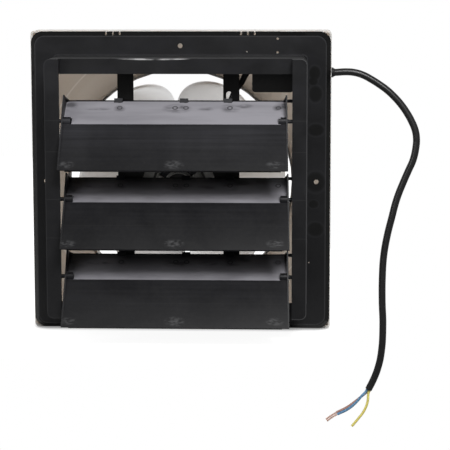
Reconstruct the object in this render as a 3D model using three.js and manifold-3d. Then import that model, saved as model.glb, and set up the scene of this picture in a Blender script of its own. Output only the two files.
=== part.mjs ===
// Window exhaust fan with a gravity shutter, in millimetres.
// +Z is up, +X is to the right seen from the shutter (outdoor) side, and +Y points into the room.
// The origin is on the fan axis, in the plane where the flange bears on the wall.
import * as THREE from "three";
import { mergeVertices } from "three/addons/utils/BufferGeometryUtils.js";
import Module from "manifold-3d";

const wasm = await Module();
wasm.setup();

// ---------------------------------------------------------------- driving dimensions
const GAP = 0.3; // clearance between pieces that touch or slide on each other
const HOLE_CLEARANCE = 0.3; // added to a screw's or a pin's radius to give its hole

// main frame
const wallOpening = 250; // square hole in the wall or window board
const neckFit = 1; // clearance of the neck to that hole, each side
const neckDepth = 73; // from the flange to the front of the side strips
const neckWall = 2.5;
const neckCorner = 6;
const flangeBorder = 19; // width of the flat face that bears on the wall, all round the neck
const flangeThickness = 2.5;
const flangeCorner = 7;
const rimFlare = 4.25; // how far the flared edge stands out past the flat face
const rimFlareDepth = 5.5;
const rimDepth = 8;
const rimWall = 2.2;
const stripWidth = 14; // side strips at the mouth of the neck
const stripThickness = 2.5;
const barHeight = 14.5; // top and bottom bars at the mouth
const barSetBack = 9; // how far the bars lie behind the strips
const cheekThickness = 2;
const mountingHoleRadius = 2.4;
const pinholes = [
  // small holes through the flange: place across, place up, radius
  [95.3, 140.3, 1.2],
  [95.3, 127, 1.2],
  [65.3, 127.6, 0.75],
  [126.8, -80.4, 0.75],
];
const slotWidth = 1.5; // drain slots in the top edge, two groups of three
const slotDepth = 3.6;
const slotPitch = 6.7;
const slotGroupOffset = 66.2;
const tabCentre = 110; // raised tab on the top edge
const tabWidth = 24.5;
const sideSlotHeight = 3; // slot in each flared side, level with the cord
const sideSlotDepth = 1.6;

// front panel
const panelOverhang = 0.75; // how far the panel stands out past the frame's flared edge
const panelCorner = 4;
const panelWall = 2.2;
const panelFace = 38; // room-side face of the panel
const throatInset = 12.2; // throat of the bell mouth, inside the neck's inner face
const throatStart = -2; // shutter-side edge of the throat
const bellRadius = 28;
const bellWall = 2;
const bossInset = 13.25; // corner bosses that carry the panel, from the frame's flared edge
const bossRadius = 4.5;
const panelScrewRadius = 1.5;
const panelScrewLength = 18;
const panelScrewHeadRadius = 3.6;
const panelScrewHeadHeight = 1.8;

// shutter
const louvreCount = 3;
const louvrePitch = 74.5;
const middlePivotHeight = -9.5; // height of the middle louvre's pivot
const pivotDepth = 65.5; // pivot axis, from the flange towards the shutter side
const openAngle = 29; // how far the louvres stand open here, in degrees from closed
const foldForward = 1.9; // fold line from the pivot axis, louvre closed
const foldDrop = 4.2;
const upperLength = 37;
const upperLean = 27; // degrees from vertical, louvre closed
const lowerLength = 49.6;
const lowerLean = 6;
const louvreSheet = 1.6;
const endPlate = 1.5;
const louvreTaper = 1.55; // how much narrower the top is than the bottom, each side
const endPlateSpike = { forward: 4.5, up: 25.2 }; // top front corner of the end plate
const endPlateLip = 2.2; // how far it stands in front of the fold
const gussetWidth = 3.2; // corner web between the end plate and the top edge
const drainLip = 3.5; // turned-in lip along the bottom edge
const drainLipInset = 7; // ends of the lip, from the louvre's lower corners
const stopTabWidth = 8;
const stopTabHeight = 1.2; // above the top edge
const stopTabDrop = 2.6; // below it, in front of the sheet
const stopTabForward = 1.9;
const stopTabPlaces = [-55.5, 7.6, 49.8];
const pivotBossRadius = 3.9;
const pivotBossLength = 7.8;
const pivotPinRadius = 1.9;
const pivotPinReach = 4; // how far a pin runs into its lug, louvre in the middle of its play
const pivotSocketDepth = 6; // from the lug's inner face
const louvreSlide = [-1.5, 0, 0]; // where each louvre lies in its play along the pivots, top one first
const lugLength = 7.5; // how far the pivot lugs stand in from the neck's inner face
const lugHeight = 9.6;
const lugDepth = 10;
const linkRadius = 29; // link pin from the pivot
const linkAngle = 23.5; // degrees behind vertical, louvre closed
const linkPinRadius = 1.6;
const linkBarThickness = 2;
const linkBarGap = 1.5; // from the link bar to the pivot lugs
const louvreLinkGap = 2.35; // from the louvres' lower corners to the link bar
const linkPinOverrun = 2.3; // how far a link pin stands out past the bar
const linkBarWidth = 7;
const linkBarOverrun = 6;

// motor and its brackets
const bracketSpacing = 102.2; // middle to middle
const bracketWidth = 15.6;
const bracketSteel = 1.6;
const bracketFront = 30; // shutter-side face of the straps, from the flange
const bracketFoot = 18;
const earHeight = 60;
const earInset = 24; // inner edge of the ears, from the middle
const earGap = 0.4; // round the bevel of the motor's shell, which the ears are cut out for
const bracketSlotWidth = 5.7;
const bracketSlotTop = 91;
const bracketSlotLength = 24;
const bracketSlotMargin = 2.9; // from the slot to the strap's edge
const motorRadius = 36.6;
const motorWall = 2.2;
const motorStep = 23.5; // radius of the raised middle of the rear bell
const motorBoss = 12.9;
const motorBossRim = { width: 1.3, height: 0.8 }; // round the dished end of the rear boss
const motorWindows = { count: 5, first: 130, half: 24, inner: 14.4, outer: 21.6 }; // angles in degrees
const motorRear = 31.5; // tip of the rear bearing boss, from the flange
const motorSplit = 8.85; // where the two bells meet, from the flange
const motorFront = 6; // tip of the front boss, towards the room
const motorRingDrop = 9.5; // outer ring of the rear bell, behind the tip of its boss
const motorStepDrop = 5; // raised middle of the rear bell, past that ring
const motorEdge = 1.5; // chamfer round the rear bell
const motorLip = 1.2; // metal in front of a bearing's outer edge
const motorEndWall = 1.7; // behind the rear bearing
const motorBoreGap = 0.6; // round the shaft where it leaves the front bell
const mountHoleX = 47.5;
const mountHoleZ = 24;
const mountPostRadius = 4.2;
const mountArm = 3.3;
const shaftRadius = 4;
const bearingRadius = 7;
const bearingLength = 5;
const statorDepth = 15.7; // shutter-side face of the stator, from the flange
const statorLength = 8.2;
const statorYoke = 12.6; // from the stator's outside to its bore
const windingLength = 3;
const windingInset = 1.7; // windings outside the stator's bore
const rearWindingMargin = 2; // and inside its outer face
const frontWindingMargin = 2.4;
const rotorGap = 0.7;
const screwRadius = 1.5;
const screwHeadRadius = 3.6;
const screwHeadHeight = 1.6;
const screwLength = 6;

// propeller
const bladeCount = 6;
const tipClearance = 6.2; // blade tips to the throat
const bladeHalfAngle = 29.9; // degrees
const bladePhase = 4; // degrees from +X
const bladeLead = 32; // axial rise in mm per radian
const bladeCamber = 3;
const bladeThickness = { root: 2.4, tip: 1.4 };
const bladeRoot = 0.6; // width of the root against the rest, as a share
const bladeTipPower = 8; // the lower, the rounder the tips
const hubRadius = 24;
const hubWall = 2.4;
const hubStart = 7;
const hubLength = 20;
const hubBossRadius = 9;
const spinnerRadius = 13;
const spinnerLength = 9.2;
const spinnerCap = 3; // closed end of the nut, past the shaft

// wiring
const boxWidth = 40;
const boxHeight = 31.4;
const boxInset = 10.5; // right-hand side of the terminal box, from the neck's inner face
const boxRear = 24; // shutter-side face of the terminal box, from the flange
const boxFront = 10; // its open face, towards the room
const boxWall = 2;
const boxCorner = 3;
const boxLid = 1.7;
const capacitorSize = { length: 30, depth: 22, height: 10 };
const capacitorGap = 2; // from the box's left-hand wall
const terminalSize = { length: 22, depth: 9, height: 10 };
const terminalShift = 2.5; // left of the middle of the box
const terminalPitch = 7;
const terminalHole = { radius: 1.8, depth: 6 };
const motorLeadRadius = 3;
const motorLeadRise = 21; // above the bottom of the terminal box
const motorLeadDepth = 12;
const motorLeadGap = 2.07; // from the middle of the lead's end to the motor's shell
const motorLeadTurn = 48.35; // degrees up from the right, round the motor
const cordRadius = 3.5;
const cordDrop = 14.4; // flex entry below the top of the terminal box
const cordDepth = 15;
const innerRunDepth = 5.5; // where the flex enters the terminal box, from the flange
const glandRadius = 4.3;
const glandFlange = 4.9;
const glandFlangeThickness = 1.6;
const glandNose = 1;
const coreRadius = 1.3;
const coreSpread = 1.68;
const copperRadius = 0.9;

// ---------------------------------------------------------------- derived values
const deg = Math.PI / 180;
const neckWidth = wallOpening - 2 * neckFit;
const neckHalf = neckWidth / 2;
const neckInner = neckHalf - neckWall;
const flangeWidth = neckWidth + 2 * flangeBorder;
const mountingHoleOffset = (neckHalf + flangeWidth / 2) / 2; // middle of the flat face
const rimWidth = flangeWidth + 2 * rimFlare;
const rimHalf = rimWidth / 2;
const bossOffset = rimHalf - bossInset;
const panelWidth = rimWidth + 2 * panelOverhang;
const mouthHalf = neckHalf - stripWidth; // half width of the mouth between the strips
const barInner = neckHalf - barHeight;
const barFront = neckDepth - barSetBack;
const panelHalf = panelWidth / 2;
const boxTop = neckInner - GAP;
const boxRight = neckInner - boxInset;
const cordHeight = boxTop - cordDrop;
const panelRear = rimDepth + GAP;
const panelPlateRear = panelFace - panelWall;
const bossTop = panelPlateRear - GAP;
const throatRadius = neckInner - throatInset;
const bladeTipRadius = throatRadius - tipClearance;
const bellOuter = throatRadius + bellRadius;
const bellStart = panelFace - bellRadius;
const lugInset = neckInner - lugLength; // inner face of the pivot lugs, from the middle
const linkBarInset = lugInset - linkBarGap - linkBarThickness;
const louvreHalfWidthBottom = linkBarInset - louvreLinkGap;
const louvreHalfWidthTop = louvreHalfWidthBottom - louvreTaper;
const drainLipHalfWidth = louvreHalfWidthBottom - drainLipInset;
const bracketX = bracketSpacing / 2;
const bracketRear = bracketFront - bracketSteel;
const pivotHeights = Array.from(
  { length: louvreCount },
  (_, i) => middlePivotHeight + (1 - i) * louvrePitch,
);

// ---------------------------------------------------------------- materials
const plastic = (color, roughness) => new THREE.MeshStandardMaterial({ color, roughness, metalness: 0 });
const metal = (color, roughness) => new THREE.MeshStandardMaterial({ color, roughness, metalness: 1 });
const blackPlastic = plastic(0x1b1b1d, 0.42);
const beigePlastic = plastic(0xcfc4b8, 0.5);
const bladePlastic = plastic(0xd8d3cc, 0.38);
const paintedSteel = plastic(0x161617, 0.5);
const motorGrey = metal(0x8d8d8b, 0.45);
const zincSteel = metal(0xb9bab8, 0.35);
const shaftSteel = metal(0xa9aaac, 0.25);
const bronze = metal(0xa5793f, 0.4);
const laminations = metal(0x6f6f72, 0.55);
const enamelWire = metal(0xa4512a, 0.4);
const flexRubber = plastic(0x141414, 0.55);
const blueSheath = plastic(0x3f6da8, 0.45);
const brownSheath = plastic(0x6f3f28, 0.45);
const earthSheath = plastic(0xd9c51f, 0.45);
const copper = metal(0xb4622f, 0.35);
const whiteNylon = plastic(0xe7e5df, 0.45);
const capacitorShell = plastic(0xdedbd2, 0.45);

// ---------------------------------------------------------------- solids
// A closed geometry as a manifold-3d solid, with its faces pointing out.
function solid(geometry) {
  const bare = geometry.index ? geometry.toNonIndexed() : geometry.clone();
  bare.deleteAttribute("normal");
  bare.deleteAttribute("uv");
  const merged = mergeVertices(bare, 1e-4);
  const corners = [];
  for (let i = 0; i < merged.index.count; i += 3) {
    const [a, b, c] = [0, 1, 2].map((k) => merged.index.getX(i + k));
    if (a !== b && b !== c && c !== a) corners.push([a, b, c]);
  }
  const build = (order) =>
    new wasm.Manifold(
      new wasm.Mesh({
        numProp: 3,
        vertProperties: merged.attributes.position.array,
        triVerts: new Uint32Array(corners.flatMap(order)),
      }),
    );
  const made = build(([a, b, c]) => [a, b, c]);
  return made.volume() > 0 ? made : build(([a, b, c]) => [a, c, b]);
}

const join = (...parts) => parts.reduce((whole, part) => whole.add(part));
const cut = (body, ...tools) => tools.reduce((whole, tool) => whole.subtract(tool), body);

function block(x0, x1, y0, y1, z0, z1) {
  const geometry = new THREE.BoxGeometry(x1 - x0, y1 - y0, z1 - z0);
  return solid(geometry.translate((x0 + x1) / 2, (y0 + y1) / 2, (z0 + z1) / 2));
}

// Outline drawn in X and Z, extruded from y0 to y1.
function slab(shape, y0, y1, curveSegments = 6) {
  const geometry = new THREE.ExtrudeGeometry(shape, { depth: y1 - y0, bevelEnabled: false, curveSegments });
  return solid(geometry.rotateX(Math.PI / 2).translate(0, y1, 0));
}

// Outline drawn in Y and Z, extruded from x0 to x1.
function profile(shape, x0, x1, curveSegments = 6) {
  const geometry = new THREE.ExtrudeGeometry(shape, { depth: x1 - x0, bevelEnabled: false, curveSegments });
  const turn = new THREE.Matrix4().makeBasis(
    new THREE.Vector3(0, 1, 0),
    new THREE.Vector3(0, 0, 1),
    new THREE.Vector3(1, 0, 0),
  );
  return solid(geometry.applyMatrix4(turn).translate(x0, 0, 0));
}

function rodX(radius, x0, x1, y, z, sides = 16) {
  const geometry = new THREE.CylinderGeometry(radius, radius, x1 - x0, sides).rotateZ(Math.PI / 2);
  return solid(geometry.translate((x0 + x1) / 2, y, z));
}

function rodY(radius, y0, y1, x, z, sides = 16) {
  const geometry = new THREE.CylinderGeometry(radius, radius, y1 - y0, sides);
  return solid(geometry.translate(x, (y0 + y1) / 2, z));
}

function rodZ(radius, z0, z1, x, y, sides = 16) {
  const geometry = new THREE.CylinderGeometry(radius, radius, z1 - z0, sides).rotateX(Math.PI / 2);
  return solid(geometry.translate(x, y, (z0 + z1) / 2));
}

// Profile points [radius, y] turned about the fan axis.
function turned(points, sides) {
  const outline = points.map(([radius, y]) => new THREE.Vector2(radius, y));
  return solid(new THREE.LatheGeometry(outline, sides));
}

function polygon(points) {
  return new THREE.Shape(points.map(([a, b]) => new THREE.Vector2(a, b)));
}

function roundedSquare(width, radius, centreX = 0, centreZ = 0, height = width) {
  const [w, h] = [width / 2 - radius, height / 2 - radius];
  const shape = new THREE.Shape();
  shape.absarc(centreX + w, centreZ + h, radius, 0, Math.PI / 2);
  shape.absarc(centreX - w, centreZ + h, radius, Math.PI / 2, Math.PI);
  shape.absarc(centreX - w, centreZ - h, radius, Math.PI, 1.5 * Math.PI);
  shape.absarc(centreX + w, centreZ - h, radius, 1.5 * Math.PI, 2 * Math.PI);
  shape.closePath();
  return shape;
}

// A round cord along a smooth curve through its points.
function cordAlong(points, radius, steps, sides) {
  const places = points.map((p) => new THREE.Vector3(...p));
  const curve = new THREE.CatmullRomCurve3(places, false, "centripetal");
  const section = polygon(
    Array.from({ length: sides }, (_, i) => {
      const turn = (2 * Math.PI * i) / sides;
      return [radius * Math.cos(turn), radius * Math.sin(turn)];
    }),
  );
  return solid(new THREE.ExtrudeGeometry(section, { steps, extrudePath: curve, bevelEnabled: false }));
}

const fan = new THREE.Group();
fan.name = "window_exhaust_fan";

// The lower end first, on either side of the middle.
const ordered = (side, a, b) => (side > 0 ? [a, b] : [-b, -a]);

function add(name, body, material, parent = fan) {
  const made = body.getMesh();
  const geometry = new THREE.BufferGeometry();
  const vertices = new Float32Array(made.numVert * 3);
  for (let i = 0; i < made.numVert; i++) {
    vertices.set(made.vertProperties.subarray(i * made.numProp, i * made.numProp + 3), i * 3);
  }
  geometry.setAttribute("position", new THREE.BufferAttribute(vertices, 3));
  geometry.setIndex(new THREE.BufferAttribute(new Uint32Array(made.triVerts), 1));
  geometry.computeVertexNormals();
  const mesh = new THREE.Mesh(geometry, material);
  mesh.name = name;
  parent.add(mesh);
  return mesh;
}

// ---------------------------------------------------------------- main frame
// The flange with its flared edge: a bevelled plate, hollowed from the room side.
function flangeShell() {
  const bevelled = (width, corner, shift) => {
    const geometry = new THREE.ExtrudeGeometry(roundedSquare(width, corner), {
      depth: rimDepth,
      bevelEnabled: true,
      bevelThickness: rimFlareDepth,
      bevelSize: rimFlare,
      bevelSegments: 1,
      curveSegments: 5,
    });
    return solid(geometry.rotateX(-Math.PI / 2).translate(0, rimFlareDepth + shift, 0));
  };
  const outside = bevelled(flangeWidth, flangeCorner, 0);
  const inside = bevelled(flangeWidth - 2 * rimWall, flangeCorner - rimWall, flangeThickness);
  const beyond = block(-rimWidth, rimWidth, rimDepth, 4 * rimDepth, -rimWidth, rimWidth);
  return cut(outside, inside, beyond);
}

function neck() {
  const tube = cut(
    slab(roundedSquare(neckWidth, neckCorner), -neckDepth, flangeThickness),
    slab(roundedSquare(2 * neckInner, neckCorner - neckWall), -neckDepth - 1, flangeThickness + 1),
  );
  // The top and bottom walls stop at the set-back bars.
  const past = neckHalf + 1;
  const shortened = cut(tube, block(-mouthHalf, mouthHalf, -neckDepth - 1, -barFront, -past, past));
  const strips = [-1, 1].map((side) => {
    const across = ordered(side, mouthHalf, neckHalf - neckWall / 2);
    return block(...across, -neckDepth, -neckDepth + stripThickness, -neckInner - 1, neckInner + 1);
  });
  const corners = slab(roundedSquare(neckWidth, neckCorner), -neckDepth, 0);
  const bars = cut(
    slab(roundedSquare(2 * neckInner + 1, neckCorner - neckWall), -barFront, -barFront + stripThickness),
    block(-neckHalf, neckHalf, -neckDepth, 0, -barInner, barInner),
  );
  const cheeks = [-1, 1].flatMap((side) =>
    [-1, 1].map((end) => {
      const across = ordered(side, mouthHalf, mouthHalf + cheekThickness);
      const up = ordered(end, barInner, neckHalf - neckWall / 2);
      return block(...across, -neckDepth, -barFront + stripThickness, ...up);
    }),
  );
  return join(shortened, ...strips.map((strip) => strip.intersect(corners)), bars, ...cheeks);
}

function pivotLug(side, height) {
  const across = ordered(side, lugInset, neckInner + neckWall / 2);
  const front = -neckDepth + stripThickness / 2;
  return block(...across, front, -pivotDepth + lugDepth / 2, height - lugHeight / 2, height + lugHeight / 2);
}

function pivotSocket(side, height) {
  const ends = ordered(side, lugInset - 1, lugInset + pivotSocketDepth);
  return rodX(pivotPinRadius + HOLE_CLEARANCE, ...ends, -pivotDepth, height);
}

function mainFrame() {
  const flange = cut(
    flangeShell(),
    slab(roundedSquare(2 * neckInner, neckCorner - neckWall), -1, flangeThickness + 1),
  );
  const bosses = [-1, 1].flatMap((x) =>
    [-1, 1].map((z) => rodY(bossRadius, flangeThickness / 2, bossTop, x * bossOffset, z * bossOffset)),
  );
  const lugs = [-1, 1].flatMap((side) => pivotHeights.map((height) => pivotLug(side, height)));
  const [tabLow, tabHigh] = [flangeWidth / 2 - 1, rimHalf];
  const tab = block(tabCentre - tabWidth / 2, tabCentre + tabWidth / 2, 0, rimFlareDepth, tabLow, tabHigh);
  const body = join(flange, neck(), ...bosses, ...lugs, tab);

  const pilotBottom = panelFace - panelScrewLength - GAP;
  const pilotRadius = panelScrewRadius + HOLE_CLEARANCE;
  const pilotHoles = [-1, 1].flatMap((x) =>
    [-1, 1].map((z) => rodY(pilotRadius, pilotBottom, bossTop + 1, x * bossOffset, z * bossOffset, 12)),
  );
  const sockets = [-1, 1].flatMap((side) => pivotHeights.map((height) => pivotSocket(side, height)));
  const mountingHoles = [0, 1, 2, 3].map((i) => {
    const turn = (i * Math.PI) / 2;
    const [x, z] = [mountingHoleOffset * Math.cos(turn), mountingHoleOffset * Math.sin(turn)];
    return rodY(mountingHoleRadius, -1, flangeThickness + 1, x, z);
  });
  const smallHoles = pinholes.map(([x, z, radius]) => rodY(radius, -1, flangeThickness + 1, x, z, 10));
  const slots = [-1, 1].flatMap((side) =>
    [-1, 0, 1].map((step) => {
      const x = side * slotGroupOffset + step * slotPitch;
      return block(x - slotWidth / 2, x + slotWidth / 2, -1, rimDepth + 1, rimHalf - slotDepth, rimHalf + 1);
    }),
  );
  const sideSlots = [-1, 1].map((side) => {
    const across = ordered(side, rimHalf - rimFlare, rimHalf + 1);
    const middle = rimFlareDepth / 2;
    const [z0, z1] = [cordHeight - sideSlotHeight / 2, cordHeight + sideSlotHeight / 2];
    return block(...across, middle - sideSlotDepth / 2, middle + sideSlotDepth / 2, z0, z1);
  });
  const bracketHoles = [-1, 1].flatMap((side) =>
    [-1, 1].map((end) => {
      const ends = ordered(end, neckInner - 1, neckHalf + 1);
      return rodZ(screwRadius + HOLE_CLEARANCE, ...ends, side * bracketX, -bracketFootMiddle, 12);
    }),
  );
  const holeRadius = screwRadius + HOLE_CLEARANCE;
  const boxHole = rodZ(holeRadius, neckInner - 1, neckHalf + 1, boxMiddle, -boxScrewDepth, 12);
  const screwHoles = [...pilotHoles, ...bracketHoles, boxHole];
  return cut(body, ...screwHoles, ...sockets, ...mountingHoles, ...smallHoles, ...slots, ...sideSlots);
}

const bracketFootMiddle = bracketRear - bracketFoot / 2 + bracketSteel;
const boxMiddle = boxRight - boxWidth / 2;
const boxScrewDepth = (boxRear - boxFront) / 2;
add("main_frame", mainFrame(), blackPlastic);

// ---------------------------------------------------------------- front panel
const bellSides = 48;

function frontPanel() {
  const hollow = roundedSquare(panelWidth - 2 * panelWall, panelCorner - panelWall);
  const skirt = cut(
    slab(roundedSquare(panelWidth, panelCorner), panelRear, panelFace, 4),
    slab(hollow, panelRear - 1, panelPlateRear, 4),
    rodY(bellOuter - bellWall, panelRear, panelFace + 1, 0, 0, bellSides),
  );
  const arcSteps = 6;
  const arc = (radius, from, to) =>
    Array.from({ length: arcSteps + 1 }, (_, i) => {
      const turn = (from + ((to - from) * i) / arcSteps) * deg;
      return [bellOuter - radius * Math.cos(turn), bellStart + radius * Math.sin(turn)];
    });
  const bell = turned(
    [
      [throatRadius, throatStart],
      [throatRadius + bellWall, throatStart],
      ...arc(bellRadius - bellWall, 0, 90),
      ...arc(bellRadius, 90, 0),
      [throatRadius, throatStart],
    ],
    bellSides,
  );
  const holeRadius = panelScrewRadius + HOLE_CLEARANCE;
  const screwHoles = [-1, 1].flatMap((x) =>
    [-1, 1].map((z) => {
      const [at, up] = [x * bossOffset, z * bossOffset];
      return rodY(holeRadius, panelPlateRear - 1, panelFace + 1, at, up, 12);
    }),
  );
  const wallInner = panelHalf - 2 * panelWall;
  const glandHole = rodX(glandRadius + GAP, wallInner, panelHalf + 1, cordDepth, cordHeight, 20);
  return cut(join(skirt, bell), ...screwHoles, glandHole);
}
add("front_panel", frontPanel(), beigePlastic);

const panelCorners = [
  [-1, 1],
  [1, 1],
  [-1, -1],
  [1, -1],
];
panelCorners.forEach(([x, z], i) => {
  const [at, up] = [x * bossOffset, z * bossOffset];
  const seat = panelFace + GAP;
  const screw = join(
    rodY(panelScrewHeadRadius, seat, seat + panelScrewHeadHeight, at, up),
    rodY(panelScrewRadius, panelFace - panelScrewLength, seat + GAP, at, up, 12),
  );
  add(`panel_screw_${i + 1}`, screw, zincSteel);
});

// ---------------------------------------------------------------- louvres and link bar
// The louvre's own frame is that of the closed louvre, with the pivot axis at the origin.
const fold = [-foldForward, -foldDrop];
const along = ([y, z], length, lean) => [y + length * Math.sin(lean), z + length * Math.cos(lean)];
const topEdge = along(fold, upperLength, upperLean * deg);
const bottomEdge = along(fold, -lowerLength, lowerLean * deg);
const halfWidthAt = (height) => {
  const share = (height - bottomEdge[1]) / (topEdge[1] - bottomEdge[1]);
  return louvreHalfWidthBottom + (louvreHalfWidthTop - louvreHalfWidthBottom) * share;
};
const linkPin = [linkRadius * Math.sin(linkAngle * deg), linkRadius * Math.cos(linkAngle * deg)];

// The louvre's taper in width, as a block that is cut or kept.
function taper(inset) {
  const reach = 2 * upperLength;
  const [top, bottom] = [topEdge[1] + reach / 4, bottomEdge[1] - reach / 4];
  const [a, b] = [halfWidthAt(top) - inset, halfWidthAt(bottom) - inset];
  return slab(
    polygon([
      [-b, bottom],
      [b, bottom],
      [a, top],
      [-a, top],
    ]),
    -reach,
    reach,
  );
}

function louvre() {
  const spike = [-endPlateSpike.forward, endPlateSpike.up];
  const frontFold = [fold[0] - endPlateLip, fold[1]];
  const seat = topEdge[1] - louvreSheet * Math.sin(upperLean * deg);
  const backTop = [topEdge[0] + louvreSheet * Math.cos(upperLean * deg), seat];
  const backFold = [fold[0] + louvreSheet, fold[1]];
  const backBottom = [bottomEdge[0] + louvreSheet, bottomEdge[1]];
  const outline = polygon([spike, frontFold, bottomEdge, backBottom, backFold, backTop, topEdge]);
  const wide = louvreHalfWidthBottom + 4;
  const whole = profile(outline, -wide, wide).intersect(taper(0));
  const open = 3 * upperLength;
  const inFront = profile(
    polygon([
      [-open, topEdge[1] + open],
      [-open, bottomEdge[1] - open],
      [bottomEdge[0] - open * Math.sin(lowerLean * deg), bottomEdge[1] - open * Math.cos(lowerLean * deg)],
      fold,
      [topEdge[0] + open * Math.sin(upperLean * deg), topEdge[1] + open * Math.cos(upperLean * deg)],
    ]),
    -wide,
    wide,
  );
  const tray = cut(whole, inFront.intersect(taper(endPlate)));

  const lip = block(
    -drainLipHalfWidth,
    drainLipHalfWidth,
    bottomEdge[0] + louvreSheet / 2,
    bottomEdge[0] + drainLip,
    bottomEdge[1],
    bottomEdge[1] + louvreSheet,
  );
  const tabs = stopTabPlaces.map((x) => {
    const across = [x - stopTabWidth / 2, x + stopTabWidth / 2];
    const up = [seat - stopTabDrop, topEdge[1] + stopTabHeight];
    return block(...across, topEdge[0] - stopTabForward, topEdge[0] + 1, ...up);
  });
  const gussets = [-1, 1].map((side) => {
    const corner = side * (halfWidthAt(topEdge[1]) - endPlate / 2);
    const front = [
      [corner, ...spike],
      [corner, ...topEdge],
      [corner - side * gussetWidth, ...topEdge],
    ];
    const [back, down] = [louvreSheet * Math.sin(10 * deg), louvreSheet * Math.cos(10 * deg)];
    return wasm.Manifold.hull([...front, ...front.map(([x, y, z]) => [x, y + back, z - down])]);
  });
  const ends = [-1, 1].flatMap((side) => {
    const face = halfWidthAt(0) - endPlate / 2;
    return [
      rodX(pivotBossRadius, ...ordered(side, face - pivotBossLength, face), 0, 0),
      rodX(pivotPinRadius, ...ordered(side, face, lugInset + pivotPinReach), 0, 0),
    ];
  });
  const pinStart = halfWidthAt(linkPin[1]) - endPlate / 2;
  const pinEnd = linkBarInset + linkBarThickness + linkPinOverrun;
  const link = rodX(linkPinRadius, pinStart, pinEnd, ...linkPin, 12);
  return join(tray, lip, ...tabs, ...gussets, ...ends, link);
}

pivotHeights.forEach((height, i) => {
  const group = new THREE.Group();
  group.position.set(louvreSlide[i], -pivotDepth, height);
  group.rotation.x = -openAngle * deg;
  fan.add(group);
  add(`louvre_${i + 1}`, louvre(), blackPlastic, group);
});

function linkBar() {
  const angle = (linkAngle + openAngle) * deg;
  const y = -pivotDepth + linkRadius * Math.sin(angle);
  const rise = linkRadius * Math.cos(angle);
  const half = linkBarWidth / 2;
  const low = pivotHeights[louvreCount - 1] + rise - linkBarOverrun;
  const high = pivotHeights[0] + rise + linkBarOverrun;
  const outline = new THREE.Shape();
  outline.absarc(y, high - half, half, 0, Math.PI);
  outline.absarc(y, low + half, half, Math.PI, 2 * Math.PI);
  outline.closePath();
  const bar = profile(outline, linkBarInset, linkBarInset + linkBarThickness, 10);
  const through = [linkBarInset - 1, linkBarInset + linkBarThickness + 1];
  const holes = pivotHeights.map((height) =>
    rodX(linkPinRadius + HOLE_CLEARANCE, ...through, y, height + rise, 12),
  );
  return cut(bar, ...holes);
}
add("link_bar", linkBar(), blackPlastic);

// ---------------------------------------------------------------- motor brackets
const footFace = neckInner - GAP; // outer face of a bracket's foot
const footInner = footFace - bracketSteel;
const motorSides = 28;
const ringFace = motorRear - motorRingDrop; // flat outer ring of the rear bell
// The ears lie level with the bevel of the shell, or behind its flat ring.
const bevelAtEars = Math.min(Math.max(ringFace - bracketRear, 0), motorEdge);
const shellAtEars = motorRadius - motorEdge + bevelAtEars;

function motorBracket(side) {
  const half = bracketWidth / 2;
  const strap = block(bracketX - half, bracketX + half, -bracketFront, -bracketRear, -footFace, footFace);
  const ear = cut(
    block(earInset, bracketX, -bracketFront, -bracketRear, -earHeight / 2, earHeight / 2),
    rodY(shellAtEars + earGap, -bracketFront - 1, -bracketRear + 1, 0, 0, motorSides),
  );
  const feet = [-1, 1].map((end) => {
    const up = ordered(end, footInner, footFace);
    return block(bracketX - half, bracketX + half, -bracketFront, -bracketFront + bracketFoot, ...up);
  });
  const footHoles = [-1, 1].map((end) => {
    const ends = ordered(end, footInner - 1, footFace + 1);
    return rodZ(screwRadius + HOLE_CLEARANCE, ...ends, bracketX, -bracketFootMiddle, 12);
  });
  const mountHoles = [-1, 1].map((end) =>
    rodY(screwRadius + HOLE_CLEARANCE, -bracketFront - 1, -bracketRear + 1, mountHoleX, end * mountHoleZ, 12),
  );
  const body = cut(join(strap, ear, ...feet), ...footHoles, ...mountHoles);
  if (side < 0) return body.mirror([1, 0, 0]);
  const radius = bracketSlotWidth / 2;
  const x = bracketX - half + bracketSlotMargin + radius;
  const z = bracketSlotTop - bracketSlotLength / 2;
  const slot = roundedSquare(bracketSlotWidth, radius - 0.05, x, z, bracketSlotLength);
  return cut(body, slab(slot, -bracketFront - 1, -bracketRear + 1));
}
add("motor_bracket_left", motorBracket(-1), paintedSteel);
add("motor_bracket_right", motorBracket(1), paintedSteel);

const bracketEnds = [
  ["top_left", -1, 1],
  ["top_right", 1, 1],
  ["bottom_left", -1, -1],
  ["bottom_right", 1, -1],
];
bracketEnds.forEach(([name, side, end]) => {
  const headFace = footInner - GAP;
  const head = ordered(end, headFace - screwHeadHeight, headFace);
  const shank = ordered(end, headFace - GAP, neckHalf - GAP);
  const screw = join(
    rodZ(screwHeadRadius, ...head, side * bracketX, -bracketFootMiddle),
    rodZ(screwRadius, ...shank, side * bracketX, -bracketFootMiddle, 12),
  );
  add(`bracket_screw_${name}`, screw, zincSteel);
});

// ---------------------------------------------------------------- motor
const stepFace = ringFace + motorStepDrop;
const statorOuter = motorRadius - motorWall - GAP;
const statorInner = statorOuter - statorYoke;
const bearingPocket = bearingRadius + GAP;

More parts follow.
